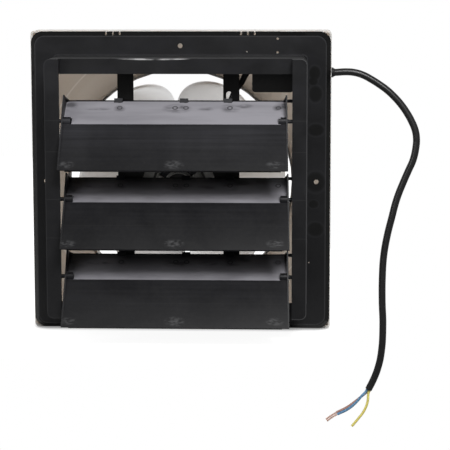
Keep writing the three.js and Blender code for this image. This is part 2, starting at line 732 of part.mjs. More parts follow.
function motorRearHousing() {
  const inner = motorRadius - motorWall;
  const cup = turned(
    [
      [0, -motorRear + motorBossRim.height],
      [motorBoss - motorBossRim.width, -motorRear + motorBossRim.height],
      [motorBoss - motorBossRim.width + 0.3, -motorRear],
      [motorBoss - 0.5, -motorRear],
      [motorBoss, -motorRear + 1],
      [motorBoss, -stepFace],
      [motorStep - 3.5, -stepFace],
      [motorStep - 1, -stepFace + motorEdge],
      [motorStep, -ringFace],
      [motorRadius - motorEdge, -ringFace],
      [motorRadius, -ringFace + motorEdge],
      [motorRadius, -motorSplit - GAP / 2],
      [inner, -motorSplit - GAP / 2],
      [inner, -ringFace + motorWall],
      [motorStep - 2, -ringFace + motorWall],
      [motorStep - 3.5, -stepFace + motorWall],
      [bearingPocket, -stepFace + motorWall],
      [bearingPocket, -motorRear + motorEndWall],
      [0, -motorRear + motorEndWall],
    ],
    motorSides,
  );
  const armStart = Math.sqrt(motorRadius ** 2 - (mountHoleZ + mountPostRadius) ** 2);
  const posts = [-1, 1].flatMap((side) =>
    [-1, 1].map((end) => {
      const arm = block(
        ...ordered(side, armStart, mountHoleX),
        -ringFace,
        -ringFace + mountArm,
        end * mountHoleZ - mountPostRadius,
        end * mountHoleZ + mountPostRadius,
      );
      const [x, z] = [side * mountHoleX, end * mountHoleZ];
      const post = rodY(mountPostRadius, -bracketRear + GAP, -ringFace + mountArm, x, z);
      const pilotEnd = -bracketFront + screwLength + GAP;
      const pilot = rodY(screwRadius + HOLE_CLEARANCE, -bracketRear, pilotEnd, x, z, 12);
      return { solid: join(arm, post), pilot };
    }),
  );
  const hollow = rodY(inner, -ringFace + motorWall, -motorSplit, 0, 0, motorSides);
  const arms = posts.map((post) => cut(post.solid, hollow));
  const windows = Array.from({ length: motorWindows.count }, (_, i) => {
    const middle = motorWindows.first + (360 / motorWindows.count) * i;
    const [from, to] = [(middle - motorWindows.half) * deg, (middle + motorWindows.half) * deg];
    const shape = new THREE.Shape();
    shape.absarc(0, 0, motorWindows.outer, from, to);
    shape.absarc(0, 0, motorWindows.inner, to, from, true);
    shape.closePath();
    return slab(shape, -motorRear - 1, -ringFace + motorWall);
  });
  return cut(join(cup, ...arms), ...windows, ...posts.map((post) => post.pilot));
}
add("motor_rear_housing", motorRearHousing(), motorGrey);

function motorFrontHousing() {
  const inner = motorRadius - motorWall;
  const bore = shaftRadius + motorBoreGap;
  const pocketEnd = motorFront - motorLip;
  return turned(
    [
      [motorRadius, -motorSplit + GAP / 2],
      [motorRadius, -3.5],
      [motorRadius - 1.9, -1],
      [motorStep - 2.5, 3],
      [motorBoss, 4],
      [motorBoss - 1, motorFront],
      [bore, motorFront],
      [bore, pocketEnd],
      [bearingPocket, pocketEnd],
      [bearingPocket, 0.4],
      [statorInner - 0.3, 0.4],
      [inner - 1.2, -3.4],
      [inner, -5],
      [inner, -motorSplit + GAP / 2],
      [motorRadius, -motorSplit + GAP / 2],
    ],
    motorSides,
  );
}
add("motor_front_housing", motorFrontHousing(), motorGrey);

function ring(outer, inner, y0, y1, sides = motorSides) {
  return turned(
    [
      [inner, y0],
      [outer, y0],
      [outer, y1],
      [inner, y1],
      [inner, y0],
    ],
    sides,
  );
}
const statorSpan = [-statorDepth, -statorDepth + statorLength];
add("stator_core", ring(statorOuter, statorInner, ...statorSpan), laminations);
const winding = (margin, start) =>
  ring(statorOuter - margin, statorInner + windingInset, start, start + windingLength);
const rearWinding = winding(rearWindingMargin, statorSpan[0] - GAP - windingLength);
add("winding_rear", rearWinding, enamelWire);
add("winding_front", winding(frontWindingMargin, statorSpan[1] + GAP), enamelWire);
add("rotor_core", ring(statorInner - rotorGap, shaftRadius + GAP, ...statorSpan), laminations);
const rearBearingStart = -motorRear + motorEndWall + GAP;
const frontBearingEnd = motorFront - motorLip - GAP;
const bearing = (start) => ring(bearingRadius, shaftRadius + GAP, start, start + bearingLength, 20);
add("bearing_rear", bearing(rearBearingStart), bronze);
add("bearing_front", bearing(frontBearingEnd - bearingLength), bronze);
const shaftEnd = hubStart + hubLength + GAP + spinnerLength - spinnerCap;
add("motor_shaft", rodY(shaftRadius, rearBearingStart, shaftEnd, 0, 0, 20), shaftSteel);

const mountScrews = [
  ["upper_left", -1, 1],
  ["upper_right", 1, 1],
  ["lower_left", -1, -1],
  ["lower_right", 1, -1],
];
mountScrews.forEach(([name, side, end]) => {
  const seat = -bracketFront - GAP;
  const [x, z] = [side * mountHoleX, end * mountHoleZ];
  const screw = join(
    rodY(screwHeadRadius, seat - screwHeadHeight, seat, x, z),
    rodY(screwRadius, seat - GAP, -bracketFront + screwLength, x, z, 12),
  );
  add(`motor_screw_${name}`, screw, zincSteel);
});

// ---------------------------------------------------------------- propeller
const hubEnd = hubStart + hubLength;
const hubSides = 28;
const bladeMiddle = hubStart + hubLength / 2 - 0.5;
const smooth = (t) => {
  const s = Math.min(Math.max(t, 0), 1);
  return s * s * (3 - 2 * s);
};

// Half angle of the blade at a radius, with rounded tips and a narrower root.
function bladeHalf(radius) {
  const share = radius / bladeTipRadius;
  const root = bladeRoot + (1 - bladeRoot) * smooth((share - 0.25) / 0.4);
  return bladeHalfAngle * deg * root * Math.sqrt(1 - share ** bladeTipPower);
}

// One twisted blade: a flat box bent onto a screw surface.
function blade(index) {
  const [radial, chord] = [8, 6];
  const geometry = new THREE.BoxGeometry(1, 2, 1, radial, chord, 1);
  const place = geometry.attributes.position;
  const middle = (bladePhase + (index * 360) / bladeCount) * deg;
  const [inner, outer] = [hubRadius - hubWall + 0.5, 0.996 * bladeTipRadius];
  for (let i = 0; i < place.count; i++) {
    const out = Math.sin((place.getX(i) + 0.5) * (Math.PI / 2));
    const across = place.getY(i);
    const radius = inner + (outer - inner) * out;
    const swing = across * bladeHalf(radius);
    const thickness = bladeThickness.root + (bladeThickness.tip - bladeThickness.root) * out;
    const slope = Math.atan(bladeLead / radius);
    const offset = place.getZ(i) * thickness;
    const turn = middle + swing + (offset * Math.sin(slope)) / radius;
    const rise = bladeMiddle - bladeLead * swing + bladeCamber * (1 - across * across) * out;
    place.setXYZ(i, radius * Math.cos(turn), rise + offset * Math.cos(slope), radius * Math.sin(turn));
  }
  return solid(geometry);
}

function propeller() {
  const hub = turned(
    [
      [shaftRadius + GAP, hubEnd],
      [hubRadius - 3, hubEnd],
      [hubRadius, hubEnd - 3],
      [hubRadius, hubStart],
      [hubRadius - hubWall, hubStart],
      [hubRadius - hubWall, hubEnd - 4],
      [hubRadius - hubWall - 2, hubEnd - hubWall],
      [hubBossRadius, hubEnd - hubWall],
      [hubBossRadius, hubStart + 1],
      [shaftRadius + GAP, hubStart + 1],
      [shaftRadius + GAP, hubEnd],
    ],
    hubSides,
  );
  const blades = Array.from({ length: bladeCount }, (_, i) => blade(i));
  const inside = rodY(hubRadius - hubWall, 0, hubEnd - 4, 0, 0, hubSides);
  return join(hub, ...blades.map((one) => cut(one, inside)));
}
add("propeller", propeller(), bladePlastic);

const spinnerSeat = hubEnd + GAP;
const spinner = turned(
  [
    [0, spinnerSeat + spinnerLength],
    [spinnerRadius - 5, spinnerSeat + spinnerLength - 0.6],
    [spinnerRadius - 1, spinnerSeat + spinnerLength / 2],
    [spinnerRadius, spinnerSeat],
    [shaftRadius + GAP, spinnerSeat],
    [shaftRadius + GAP, shaftEnd + GAP],
    [0, shaftEnd + GAP],
  ],
  24,
);
add("spinner_nut", spinner, bladePlastic);

// ---------------------------------------------------------------- terminal box
const boxBottom = boxTop - boxHeight;
const boxLeft = boxRight - boxWidth;
const boxOutline = (inset) =>
  roundedSquare(
    boxWidth - 2 * inset,
    boxCorner - 0.5 * inset,
    boxMiddle,
    (boxTop + boxBottom) / 2,
    boxHeight - 2 * inset,
  );
const motorLeadHeight = boxBottom + motorLeadRise;

function terminalBox() {
  const inside = slab(boxOutline(boxWall), -boxRear + boxWall, boxFront + 1);
  const shell = cut(slab(boxOutline(0), -boxRear, boxFront), inside);
  const leftWall = [boxLeft - 1, boxLeft + boxWall + 1];
  const rightWall = [boxRight - boxWall - 1, boxRight + 1];
  const topWall = [boxTop - boxWall - 1, boxTop + 1];
  const leadHole = rodX(motorLeadRadius + GAP, ...leftWall, -motorLeadDepth, motorLeadHeight);
  const cordHole = rodX(cordRadius + GAP, ...rightWall, innerRunDepth, cordHeight);
  const screwHole = rodZ(screwRadius + HOLE_CLEARANCE, ...topWall, boxMiddle, -boxScrewDepth, 12);
  return cut(shell, leadHole, cordHole, screwHole);
}
add("terminal_box", terminalBox(), blackPlastic);
add("terminal_box_lid", slab(boxOutline(0), boxFront + GAP, boxFront + GAP + boxLid), blackPlastic);

const boxScrewSeat = boxTop - boxWall - GAP;
const boxScrew = join(
  rodZ(screwHeadRadius, boxScrewSeat - screwHeadHeight, boxScrewSeat, boxMiddle, -boxScrewDepth),
  rodZ(screwRadius, boxScrewSeat - GAP, neckHalf - GAP, boxMiddle, -boxScrewDepth, 12),
);
add("terminal_box_screw", boxScrew, zincSteel);
const shelf = boxBottom + boxWall + GAP;
const backStop = -boxRear + boxWall + GAP;
// A box-shaped piece inside, from its left-hand end and its underside, against the back wall.
function boxed(size, left, underside) {
  return block(left, left + size.length, backStop, backStop + size.depth, underside, underside + size.height);
}
add("capacitor", boxed(capacitorSize, boxLeft + boxWall + capacitorGap, shelf), capacitorShell);
const blockShelf = shelf + capacitorSize.height + GAP;
const terminalMiddle = boxMiddle - terminalShift;
const terminalHoles = [-1, 0, 1].map((step) => {
  const open = backStop + terminalSize.depth;
  const [x, z] = [terminalMiddle + step * terminalPitch, blockShelf + terminalSize.height / 2];
  return rodY(terminalHole.radius, open - terminalHole.depth, open + 1, x, z, 10);
});
const terminals = boxed(terminalSize, terminalMiddle - terminalSize.length / 2, blockShelf);
add("terminal_block", cut(terminals, ...terminalHoles), whiteNylon);

// ---------------------------------------------------------------- leads and cord
const leadEndRadius = motorRadius + motorLeadGap;
const [leadEndX, leadEndZ] = [Math.cos(motorLeadTurn * deg), Math.sin(motorLeadTurn * deg)];
const motorLeadRoute = [
  [boxLeft + boxWall + 1, -motorLeadDepth, motorLeadHeight],
  [boxLeft - 3.5, -motorLeadDepth, motorLeadHeight - 0.5],
  [64.2, -12.5, 105.8],
  [60.2, -14, 98.4],
  [54.4, -17, 90.6],
  [50.9, -18.5, 82.5],
  [46.5, -19, 71],
  [40, -19, 55],
  [32, -16, 39.5],
  [leadEndRadius * leadEndX, -13.5, leadEndRadius * leadEndZ],
];
add("motor_lead", cordAlong(motorLeadRoute, motorLeadRadius, 22, 8), flexRubber);

const panelInside = panelHalf - panelWall;
const innerRunRoute = [
  [panelInside - 1.2, cordDepth, cordHeight],
  [panelInside - 4.8, cordDepth - 0.1, cordHeight],
  [panelInside - 9.8, 13.6, cordHeight],
  [panelInside - 17.8, 10.4, cordHeight],
  [boxRight + 6.5, innerRunDepth + 1.1, cordHeight],
  [boxRight, innerRunDepth, cordHeight],
  [boxRight - 4.5, innerRunDepth, cordHeight],
];
add("cord_inner_run", cordAlong(innerRunRoute, cordRadius, 12, 8), flexRubber);

const glandEnd = panelHalf + GAP + glandFlangeThickness + glandNose;
function cordGland() {
  const start = panelInside - 0.6;
  const seat = panelHalf + GAP;
  const points = [
    [0, start],
    [glandRadius, start],
    [glandRadius, seat],
    [glandFlange, seat],
    [glandFlange, seat + glandFlangeThickness],
    [glandRadius - 0.3, seat + glandFlangeThickness],
    [glandRadius - 0.5, glandEnd],
    [0, glandEnd],
  ].map(([radius, x]) => new THREE.Vector2(radius, x));
  const geometry = new THREE.LatheGeometry(points, 20).rotateZ(-Math.PI / 2);
  return solid(geometry.translate(0, cordDepth, cordHeight));
}
add("cord_gland", cordGland(), flexRubber);

// The flex hangs free: out to the right, over, and down to its stripped end.
const cordRoute = [
  [glandEnd + GAP, 15, 106.8],
  [164, 15, 107.4],
  [172, 15, 106.5],
  [180, 15, 103.9],
  [187.5, 14.8, 99.9],
  [195, 14.5, 95.2],
  [202.5, 14, 89.8],
  [210, 13.5, 82.9],
  [217, 13, 75],
  [222.6, 12.5, 67],
  [227.2, 12, 58.8],
  [230.6, 11.5, 50.6],
  [232, 11, 42.3],
  [231.6, 10.5, 33.9],
  [228.8, 9.5, 20.8],
  [224.7, 9, 11.2],
  [220.3, 8.5, 1],
  [213.3, 7.5, -17.3],
  [208.3, 6.5, -36.5],
  [203.8, 6, -55.7],
  [200.8, 5.5, -75],
  [199.7, 5, -97],
  [199.8, 5, -119.3],
  [200.8, 5, -144.2],
  [199.3, 5.5, -173.6],
  [196.2, 6, -188.3],
  [192, 7, -200.1],
  [187.4, 8, -210],
];
const cordPoints = cordRoute.map((p) => new THREE.Vector3(...p));
const cordCurve = new THREE.CatmullRomCurve3(cordPoints, false, "centripetal");
add("supply_cord", cordAlong(cordRoute, cordRadius, 64, 8), flexRubber);

// The three cores leave the jacket side by side.
const jacketEnd = cordCurve.getPoint(1);
const jacketAxis = cordCurve.getTangent(1);
const sideways = new THREE.Vector3(0, 1, 0).cross(jacketAxis).normalize();
const upwards = jacketAxis.clone().cross(sideways).normalize();
const coreStart = (turn, beyond) =>
  jacketEnd
    .clone()
    .addScaledVector(jacketAxis, beyond)
    .addScaledVector(sideways, coreSpread * Math.cos(turn * deg))
    .addScaledVector(upwards, coreSpread * Math.sin(turn * deg))
    .toArray();
const cores = [
  {
    name: "blue",
    turn: 330,
    material: blueSheath,
    route: [
      [180.6, 5.5, -216.8],
      [175, 5.5, -223.6],
      [167.4, 5.5, -230.4],
      [156.3, 5.5, -236.2],
    ],
  },
  {
    name: "brown",
    turn: 90,
    material: brownSheath,
    route: [
      [180, 10.5, -214.4],
      [173.5, 9.8, -220.4],
      [165.6, 9.4, -226.8],
      [154.9, 9, -233.1],
    ],
  },
  {
    name: "earth",
    turn: 210,
    material: earthSheath,
    route: [
      [186.4, 5.6, -222.4],
      [183, 5.4, -231.6],
      [177.2, 5.6, -239.8],
      [170.9, 6, -247.7],
    ],
  },
];
cores.forEach(({ name, turn, material, route }) => {
  const path = [coreStart(turn, GAP), coreStart(turn, 3), ...route];
  add(`core_${name}`, cordAlong(path, coreRadius, 16, 6), material);
  if (name === "earth") return;
  const [before, last] = path.slice(-2).map((p) => new THREE.Vector3(...p));
  const heading = last.clone().sub(before).normalize();
  const strand = [GAP, 4, 8, 12].map((step, i) => {
    const point = last.clone().addScaledVector(heading, step);
    point.z -= 0.35 * i * i * 0.5;
    return point.toArray();
  });
  add(`copper_${name}`, cordAlong(strand, copperRadius, 6, 6), copper);
});

export default fan;
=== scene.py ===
# A window exhaust fan with a gravity shutter, dressed for a studio photograph.
# Sizes are in millimetres, turned to metres by mm, in the frame of the part: the origin is on the fan
# axis where the flange bears on the wall, +Z is up and +Y points into the room. The camera, the table
# and the lights are placed in metres.
import math

import bmesh
import bpy
from mathutils import Matrix, Vector


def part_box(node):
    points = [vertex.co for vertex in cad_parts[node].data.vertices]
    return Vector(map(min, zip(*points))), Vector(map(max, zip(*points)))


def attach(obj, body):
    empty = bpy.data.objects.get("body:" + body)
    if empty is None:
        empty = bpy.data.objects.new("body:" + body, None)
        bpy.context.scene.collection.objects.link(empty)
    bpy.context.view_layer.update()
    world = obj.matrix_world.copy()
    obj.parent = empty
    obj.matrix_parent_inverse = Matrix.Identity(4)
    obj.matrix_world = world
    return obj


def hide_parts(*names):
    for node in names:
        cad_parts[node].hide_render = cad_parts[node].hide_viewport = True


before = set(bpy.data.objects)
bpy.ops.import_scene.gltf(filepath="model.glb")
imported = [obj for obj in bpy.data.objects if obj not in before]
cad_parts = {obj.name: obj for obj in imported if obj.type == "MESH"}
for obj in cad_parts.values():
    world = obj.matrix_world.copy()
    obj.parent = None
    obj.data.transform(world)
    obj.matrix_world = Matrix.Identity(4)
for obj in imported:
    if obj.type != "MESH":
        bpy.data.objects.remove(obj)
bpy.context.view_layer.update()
mm = 0.001
scene = bpy.context.scene

# ---------------------------------------------------------------- viewpoint
# The fan was photographed from about 1.75 m, a little above it and to its right, with a long lens.


def placed(name, data):
    """A new object at the origin, linked to the scene."""
    thing = bpy.data.objects.new(name, data)
    scene.collection.objects.link(thing)
    return thing


lens_camera = bpy.data.cameras.new("viewpoint")
lens_camera.sensor_width = 36
lens_camera.lens = 143.4
lens_camera.clip_start = 0.1
viewpoint = placed("viewpoint", lens_camera)
standpoint = (0.1153, -1.7546, 0.2056)
turn_left, tilt_down, roll = 0.0408, 0.1407, -0.0013
viewpoint.matrix_world = (
    Matrix.Translation(standpoint)
    @ Matrix.Rotation(turn_left, 4, "Z")
    @ Matrix.Rotation(math.pi / 2 - tilt_down, 4, "X")
    @ Matrix.Rotation(roll, 4, "Z")
)
scene.camera = viewpoint

# ---------------------------------------------------------------- supply flex
# A three-core round flex, 7 mm thick, with a smooth black rubber jacket. It leaves the gland at the
# panel's right-hand side, arches over under its own stiffness and hangs to a stripped end.


def fed(tree, socket, term):
    """Gives a socket a number, or what another node puts out."""
    if isinstance(term, (int, float)):
        socket.default_value = term
    else:
        tree.links.new(term, socket)


def ramp(tree, value, low, high, to_low=0.0, to_high=1.0):
    """A value spread from one range to another, and held at its ends."""
    spread = tree.nodes.new("ShaderNodeMapRange")
    ends = {"From Min": low, "From Max": high, "To Min": to_low, "To Max": to_high}
    for label, number in ends.items():
        spread.inputs[label].default_value = number
    tree.links.new(value, spread.inputs["Value"])
    return spread.outputs["Result"]


def worked(tree, operation, *terms):
    """A Math node on sockets or numbers."""
    step = tree.nodes.new("ShaderNodeMath")
    step.operation = operation
    for socket, term in zip(step.inputs, terms):
        fed(tree, socket, term)
    return step.outputs["Value"]


def product(tree, first, *others):
    """Sockets or numbers multiplied together, in their order."""
    for other in others:
        first = worked(tree, "MULTIPLY", first, other)
    return first


def noise(tree, place, scale, detail, roughness=0.5, distortion=0.0):
    """A cloud of values from 0 to 1, whose scale is in features per metre."""
    cloud = tree.nodes.new("ShaderNodeTexNoise")
    for label, term in [
        ("Vector", place),
        ("Scale", scale),
        ("Detail", detail),
        ("Roughness", roughness),
        ("Distortion", distortion),
    ]:
        fed(tree, cloud.inputs[label], term)
    return cloud.outputs["Fac"]


# The skin of a moulded or extruded piece: fine grain, uneven gloss and a little settled dust.
moulded_skin = bpy.data.node_groups.new("moulded_skin", "ShaderNodeTree")
for label, kind, value in [
    ("Colour", "NodeSocketColor", (0.01, 0.01, 0.01, 1)),
    ("Dust Colour", "NodeSocketColor", (0.3, 0.28, 0.25, 1)),
    ("Dust", "NodeSocketFloat", 0.02),
    ("Roughness", "NodeSocketFloat", 0.4),
    ("Gloss Change", "NodeSocketFloat", 0.1),
    ("Grain Scale", "NodeSocketFloat", 900),
]:
    moulded_skin.interface.new_socket(label, in_out="INPUT", socket_type=kind).default_value = value
for label, kind in [
    ("Colour", "NodeSocketColor"),
    ("Roughness", "NodeSocketFloat"),
    ("Height", "NodeSocketFloat"),
]:
    moulded_skin.interface.new_socket(label, in_out="OUTPUT", socket_type=kind)


def fill_moulded_skin():
    """Grain for the relief, slow changes of gloss, and specks of dust on what faces up."""
    tree = moulded_skin
    taken = tree.nodes.new("NodeGroupInput").outputs
    given = tree.nodes.new("NodeGroupOutput").inputs
    place = tree.nodes.new("ShaderNodeTexCoord").outputs["Object"]
    tree.links.new(noise(tree, place, taken["Grain Scale"], 3), given["Height"])

    flow = noise(tree, place, 18, 6, roughness=0.62, distortion=1.2)
    uneven = ramp(tree, flow, 0.3, 0.7, -0.5, 0.5)
    gloss = worked(tree, "MULTIPLY_ADD", uneven, taken["Gloss Change"], taken["Roughness"])
    tree.links.new(gloss, given["Roughness"])

    facing = tree.nodes.new("ShaderNodeSeparateXYZ")
    tree.links.new(tree.nodes.new("ShaderNodeNewGeometry").outputs["Normal"], facing.inputs["Vector"])
    upward = ramp(tree, facing.outputs["Z"], -0.4, 1, 0.25, 1)
    settled = ramp(tree, noise(tree, place, 260, 8, roughness=0.7), 0.42, 0.72)
    dusted = tree.nodes.new("ShaderNodeMix")
    dusted.data_type = "RGBA"
    tree.links.new(product(tree, upward, settled, taken["Dust"]), dusted.inputs["Factor"])
    tree.links.new(taken["Colour"], dusted.inputs["A"])
    tree.links.new(taken["Dust Colour"], dusted.inputs["B"])
    tree.links.new(dusted.outputs["Result"], given["Colour"])


fill_moulded_skin()


def skinned(
    name, colour, roughness, gloss_change, grain, bump, dust=0.02, metallic=0.0, specular=0.5
):
    """A material of one colour with the moulded skin, whose grain is in features per metre."""
    material = bpy.data.materials.new(name)
    material.use_nodes = True
    nodes, link = material.node_tree.nodes, material.node_tree.links.new
    shader = nodes["Principled BSDF"]
    skin = nodes.new("ShaderNodeGroup")
    skin.node_tree = moulded_skin
    skin.inputs["Colour"].default_value = (*colour, 1)
    skin.inputs["Dust"].default_value = dust
    skin.inputs["Roughness"].default_value = roughness
    skin.inputs["Gloss Change"].default_value = gloss_change
    skin.inputs["Grain Scale"].default_value = grain
    relief = nodes.new("ShaderNodeBump")
    relief.inputs["Strength"].default_value = bump
    relief.inputs["Distance"].default_value = 0.1 * mm
    link(skin.outputs["Colour"], shader.inputs["Base Color"])
    link(skin.outputs["Roughness"], shader.inputs["Roughness"])
    link(skin.outputs["Height"], relief.inputs["Height"])
    link(relief.outputs["Normal"], shader.inputs["Normal"])
    shader.inputs["Metallic"].default_value = metallic
    shader.inputs["Specular IOR Level"].default_value = specular
    return material


def flexible(name, route, radius, material, stands_for):
    """A round line along a smooth route of points in millimetres, fixed to the housing."""
    line = bpy.data.curves.new(name, "CURVE")
    line.dimensions = "3D"
    line.bevel_depth = radius * mm
    line.bevel_resolution = 6
    line.resolution_u = 12
    line.use_fill_caps = True
    spline = line.splines.new("BEZIER")
    spline.bezier_points.add(len(route) - 1)
    for knot, place in zip(spline.bezier_points, route):
        knot.co = Vector(place) * mm
        knot.handle_left_type = knot.handle_right_type = "AUTO"
    line.materials.append(material)
    piece = placed(name, line)
    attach(piece, "housing")
    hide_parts(stands_for)
    return piece


jacket_rubber = skinned(
    "jacket_rubber", (0.012, 0.012, 0.0125), roughness=0.36, gloss_change=0.12,
    grain=1400, bump=0.12, dust=0.05,
)
flex_radius = 3.5
flex_route = [
    (151.2, 15, 106.8),
    (164, 15, 107.4),
    (172, 15, 106.5),
    (180, 15, 103.9),
    (187.5, 14.8, 99.9),
    (195, 14.5, 95.2),
    (202.5, 14, 89.8),
    (210, 13.5, 82.9),
    (217, 13, 75),
    (222.6, 12.5, 67),
    (227.2, 12, 58.8),
    (230.6, 11.5, 50.6),
    (232, 11, 42.3),
    (231.6, 10.5, 33.9),
    (228.8, 9.5, 20.8),
    (224.7, 9, 11.2),
    (220.3, 8.5, 1),
    (213.3, 7.5, -17.3),
    (208.3, 6.5, -36.5),
    (203.8, 6, -55.7),
    (200.8, 5.5, -75),
    (199.7, 5, -97),
    (199.8, 5, -119.3),
    (200.8, 5, -144.2),
    (199.3, 5.5, -173.6),
    (196.2, 6, -188.3),
    (192, 7, -200.1),
    (187.4, 8, -210),
]
flex = flexible("flex", flex_route, flex_radius, jacket_rubber, "supply_cord")

# ---------------------------------------------------------------- stripped cores
# Blue, brown and yellow-green PVC cores spread from the jacket's end. The blue and the brown end in
# about 11 mm of bunched copper strands.


def translucent(material, weight, depth):
    """Lets light through a thin pale wall, as unfilled plastic does; the depth is in millimetres."""
    shader = material.node_tree.nodes["Principled BSDF"]
    shader.inputs["Subsurface Weight"].default_value = weight
    shader.inputs["Subsurface Radius"].default_value = (1, 0.93, 0.88)
    shader.inputs["Subsurface Scale"].default_value = depth * mm


core_radius = 1.3
core_routes = {
    "blue": [(180.6, 5.5, -216.3), (175, 5.5, -223), (167.4, 5.5, -229.7), (156.3, 5.5, -235.5)],
    "brown": [(181.2, 9.7, -217.2), (174.8, 9, -222.4), (166.3, 8.7, -228.7), (155.2, 8.4, -234.5)],
    "earth": [(186.4, 5.6, -222.4), (183, 5.4, -231.6), (177.2, 5.6, -239.8), (170.9, 6, -247.7)],
}
# Where each core leaves the jacket: degrees round the jacket's middle, and millimetres from it.
core_seats = {"blue": 330, "brown": 90, "earth": 210}
core_spread = 1.68
jacket_end = Vector(flex_route[-1])
jacket_heading = (jacket_end - Vector(flex_route[-2])).normalized()
to_the_left = Vector((0, 1, 0)).cross(jacket_heading).normalized()
to_the_back = jacket_heading.cross(to_the_left).normalized()
core_vinyl = {
    colour: skinned(
        f"{colour}_vinyl", shade, roughness=0.35, gloss_change=0.1,
        grain=1500, bump=0.03, dust=0.0,
    )
    for colour, shade in [
        ("blue", (0.17, 0.35, 0.55)),
        ("brown", (0.5, 0.29, 0.24)),
        ("earth", (0.97, 0.82, 0.24)),
    ]
}
bare_copper = skinned(
    "bare_copper", (0.95, 0.66, 0.55), roughness=0.36, gloss_change=0.15,
    grain=3000, bump=0.1, dust=0.0, metallic=0.35,
)
for vinyl in core_vinyl.values():
    translucent(vinyl, 0.7, 1.5)
pieces_on_flex = []
for colour, route in core_routes.items():
    seat = math.radians(core_seats[colour])
    offset = (to_the_left * math.cos(seat) + to_the_back * math.sin(seat)) * core_spread
    lead_out = [jacket_end + jacket_heading * beyond + offset for beyond in (0.3, 3)]
    core = flexible(
        f"{colour}_core",
        [*lead_out, *route],
        core_radius,
        core_vinyl[colour],
        f"core_{colour}",
    )
    pieces_on_flex.append(core)


def bare_strands(colour):
    """Six thin strands twisted lazily round a seventh, carrying on from the core's cut end."""
    strand_radius, lay_radius, start, bare_length, droop = 0.28, 0.6, 0.3, 11.4, 1.575
    twist, outer_strands, steps = 2.4, 6, 8
    before, tip = (Vector(p) for p in core_routes[colour][-2:])
    heading = (tip - before).normalized()
    side = heading.cross(Vector((0, 1, 0))).normalized()
    back = heading.cross(side)
    strands = bpy.data.curves.new(f"{colour}_copper_strands", "CURVE")
    strands.dimensions = "3D"
    strands.bevel_depth = strand_radius * mm
    strands.bevel_resolution = 2
    strands.resolution_u = 4
    strands.use_fill_caps = True
    for strand in range(outer_strands + 1):
        spline = strands.splines.new("BEZIER")
        spline.bezier_points.add(steps)
        ring = lay_radius if strand < outer_strands else 0
        for step, knot in enumerate(spline.bezier_points):
            share = step / steps
            turn = strand * math.tau / outer_strands + twist * share
            place = tip + heading * (start + bare_length * share)
            place.z -= droop * share**2
            place += (side * math.cos(turn) + back * math.sin(turn)) * ring
            knot.co = place * mm
            knot.handle_left_type = knot.handle_right_type = "AUTO"
    strands.materials.append(bare_copper)
    piece = placed(strands.name, strands)
    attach(piece, "housing")
    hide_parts(f"copper_{colour}")
    return piece


pieces_on_flex += [bare_strands("blue"), bare_strands("brown")]

# ---------------------------------------------------------------- cord gland
# A moulded rubber bush snapped into the panel's side wall, with a flange outside and a short plain
# nose that narrows to the flex.


def shown(mesh, name, body, stands_for, material, sharp=35, ease=0.0):
    """Turns a bmesh into a piece. Corners above an angle may be rounded, and are shaded sharp."""
    if ease:
        rounded = math.radians(sharp)
        bmesh.ops.bevel(
            mesh,
            geom=[e for e in mesh.edges if e.is_manifold and e.calc_face_angle(0) > rounded],
            offset=ease * mm,
            offset_type="OFFSET",
            affect="EDGES",
            segments=2,
            profile=0.5,
            material=-1,
            clamp_overlap=True,
        )
    for face in mesh.faces:
        face.smooth = True
    shaded_sharp = math.radians(sharp + 12)
    for edge in mesh.edges:
        edge.smooth = edge.is_manifold and edge.calc_face_angle(0) < shaded_sharp
    data = bpy.data.meshes.new(name)
    mesh.to_mesh(data)
    mesh.free()
    data.materials.append(material)
    piece = placed(name, data)
    even = piece.modifiers.new("even_light", "WEIGHTED_NORMAL")
    even.keep_sharp = True
    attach(piece, body)
    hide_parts(stands_for)
    return piece


def turned(mesh, outline, centre, axis, steps):
    """Spins an outline of (radius, distance along the axis) points, in millimetres, about an axis."""
    axis = Vector(axis)
    away = axis.orthogonal().normalized()
    points = [mesh.verts.new((Vector(centre) + away * r + axis * along) * mm) for r, along in outline]
    edges = [mesh.edges.new(pair) for pair in zip(points, points[1:])]
    bmesh.ops.spin(
        mesh,
        geom=points + edges,
        cent=Vector(centre) * mm,
        axis=axis,
        dvec=(0, 0, 0),
        angle=math.tau,
        steps=steps,
        use_merge=True,
    )
    bmesh.ops.remove_doubles(mesh, verts=mesh.verts, dist=0.001 * mm)
    bmesh.ops.recalc_face_normals(mesh, faces=mesh.faces)
    return mesh


gland_rubber = skinned(
    "gland_rubber", (0.008, 0.008, 0.0085), roughness=0.6, gloss_change=0.12,
    grain=1200, bump=0.15, dust=0.02,
)
gland_outline = [
    (3.7, 145.3),
    (4.2, 145.3),
    (4.3, 145.6),
    (4.3, 148.3),
    (4.7, 148.3),
    (4.9, 148.5),
    (4.9, 149.6),
    (4.7, 149.9),
    (4.2, 150),
    (3.9, 150.9),
    (3.6, 151.6),
]
gland_middle = (0, 15, 106.8)
gland = turned(bmesh.new(), [*gland_outline, gland_outline[0]], gland_middle, (1, 0, 0), 48)
shown(gland, "gland", "housing", "cord_gland", gland_rubber)

# ---------------------------------------------------------------- main frame
# One black injection moulding: the flange with its flared edge, the square neck, the side strips and
# the set-back bars at its mouth. Its edges are eased by the tool, and it carries a satin bloom,
# painted heavier towards the top as light, with painted shade and highlights on its edges.


def eased_copy(node, name, body, material, ease, sharp=35):
    """A copy of a solid with its flat faces made whole and its corners rounded."""
    welded, flat_within = 0.002 * mm, math.radians(0.5)
    mesh = bmesh.new()
    mesh.from_mesh(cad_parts[node].data)
    bmesh.ops.remove_doubles(mesh, verts=mesh.verts, dist=welded)
    bmesh.ops.dissolve_limit(mesh, angle_limit=flat_within, verts=mesh.verts, edges=mesh.edges)
    return shown(mesh, name, body, node, material, sharp, ease)


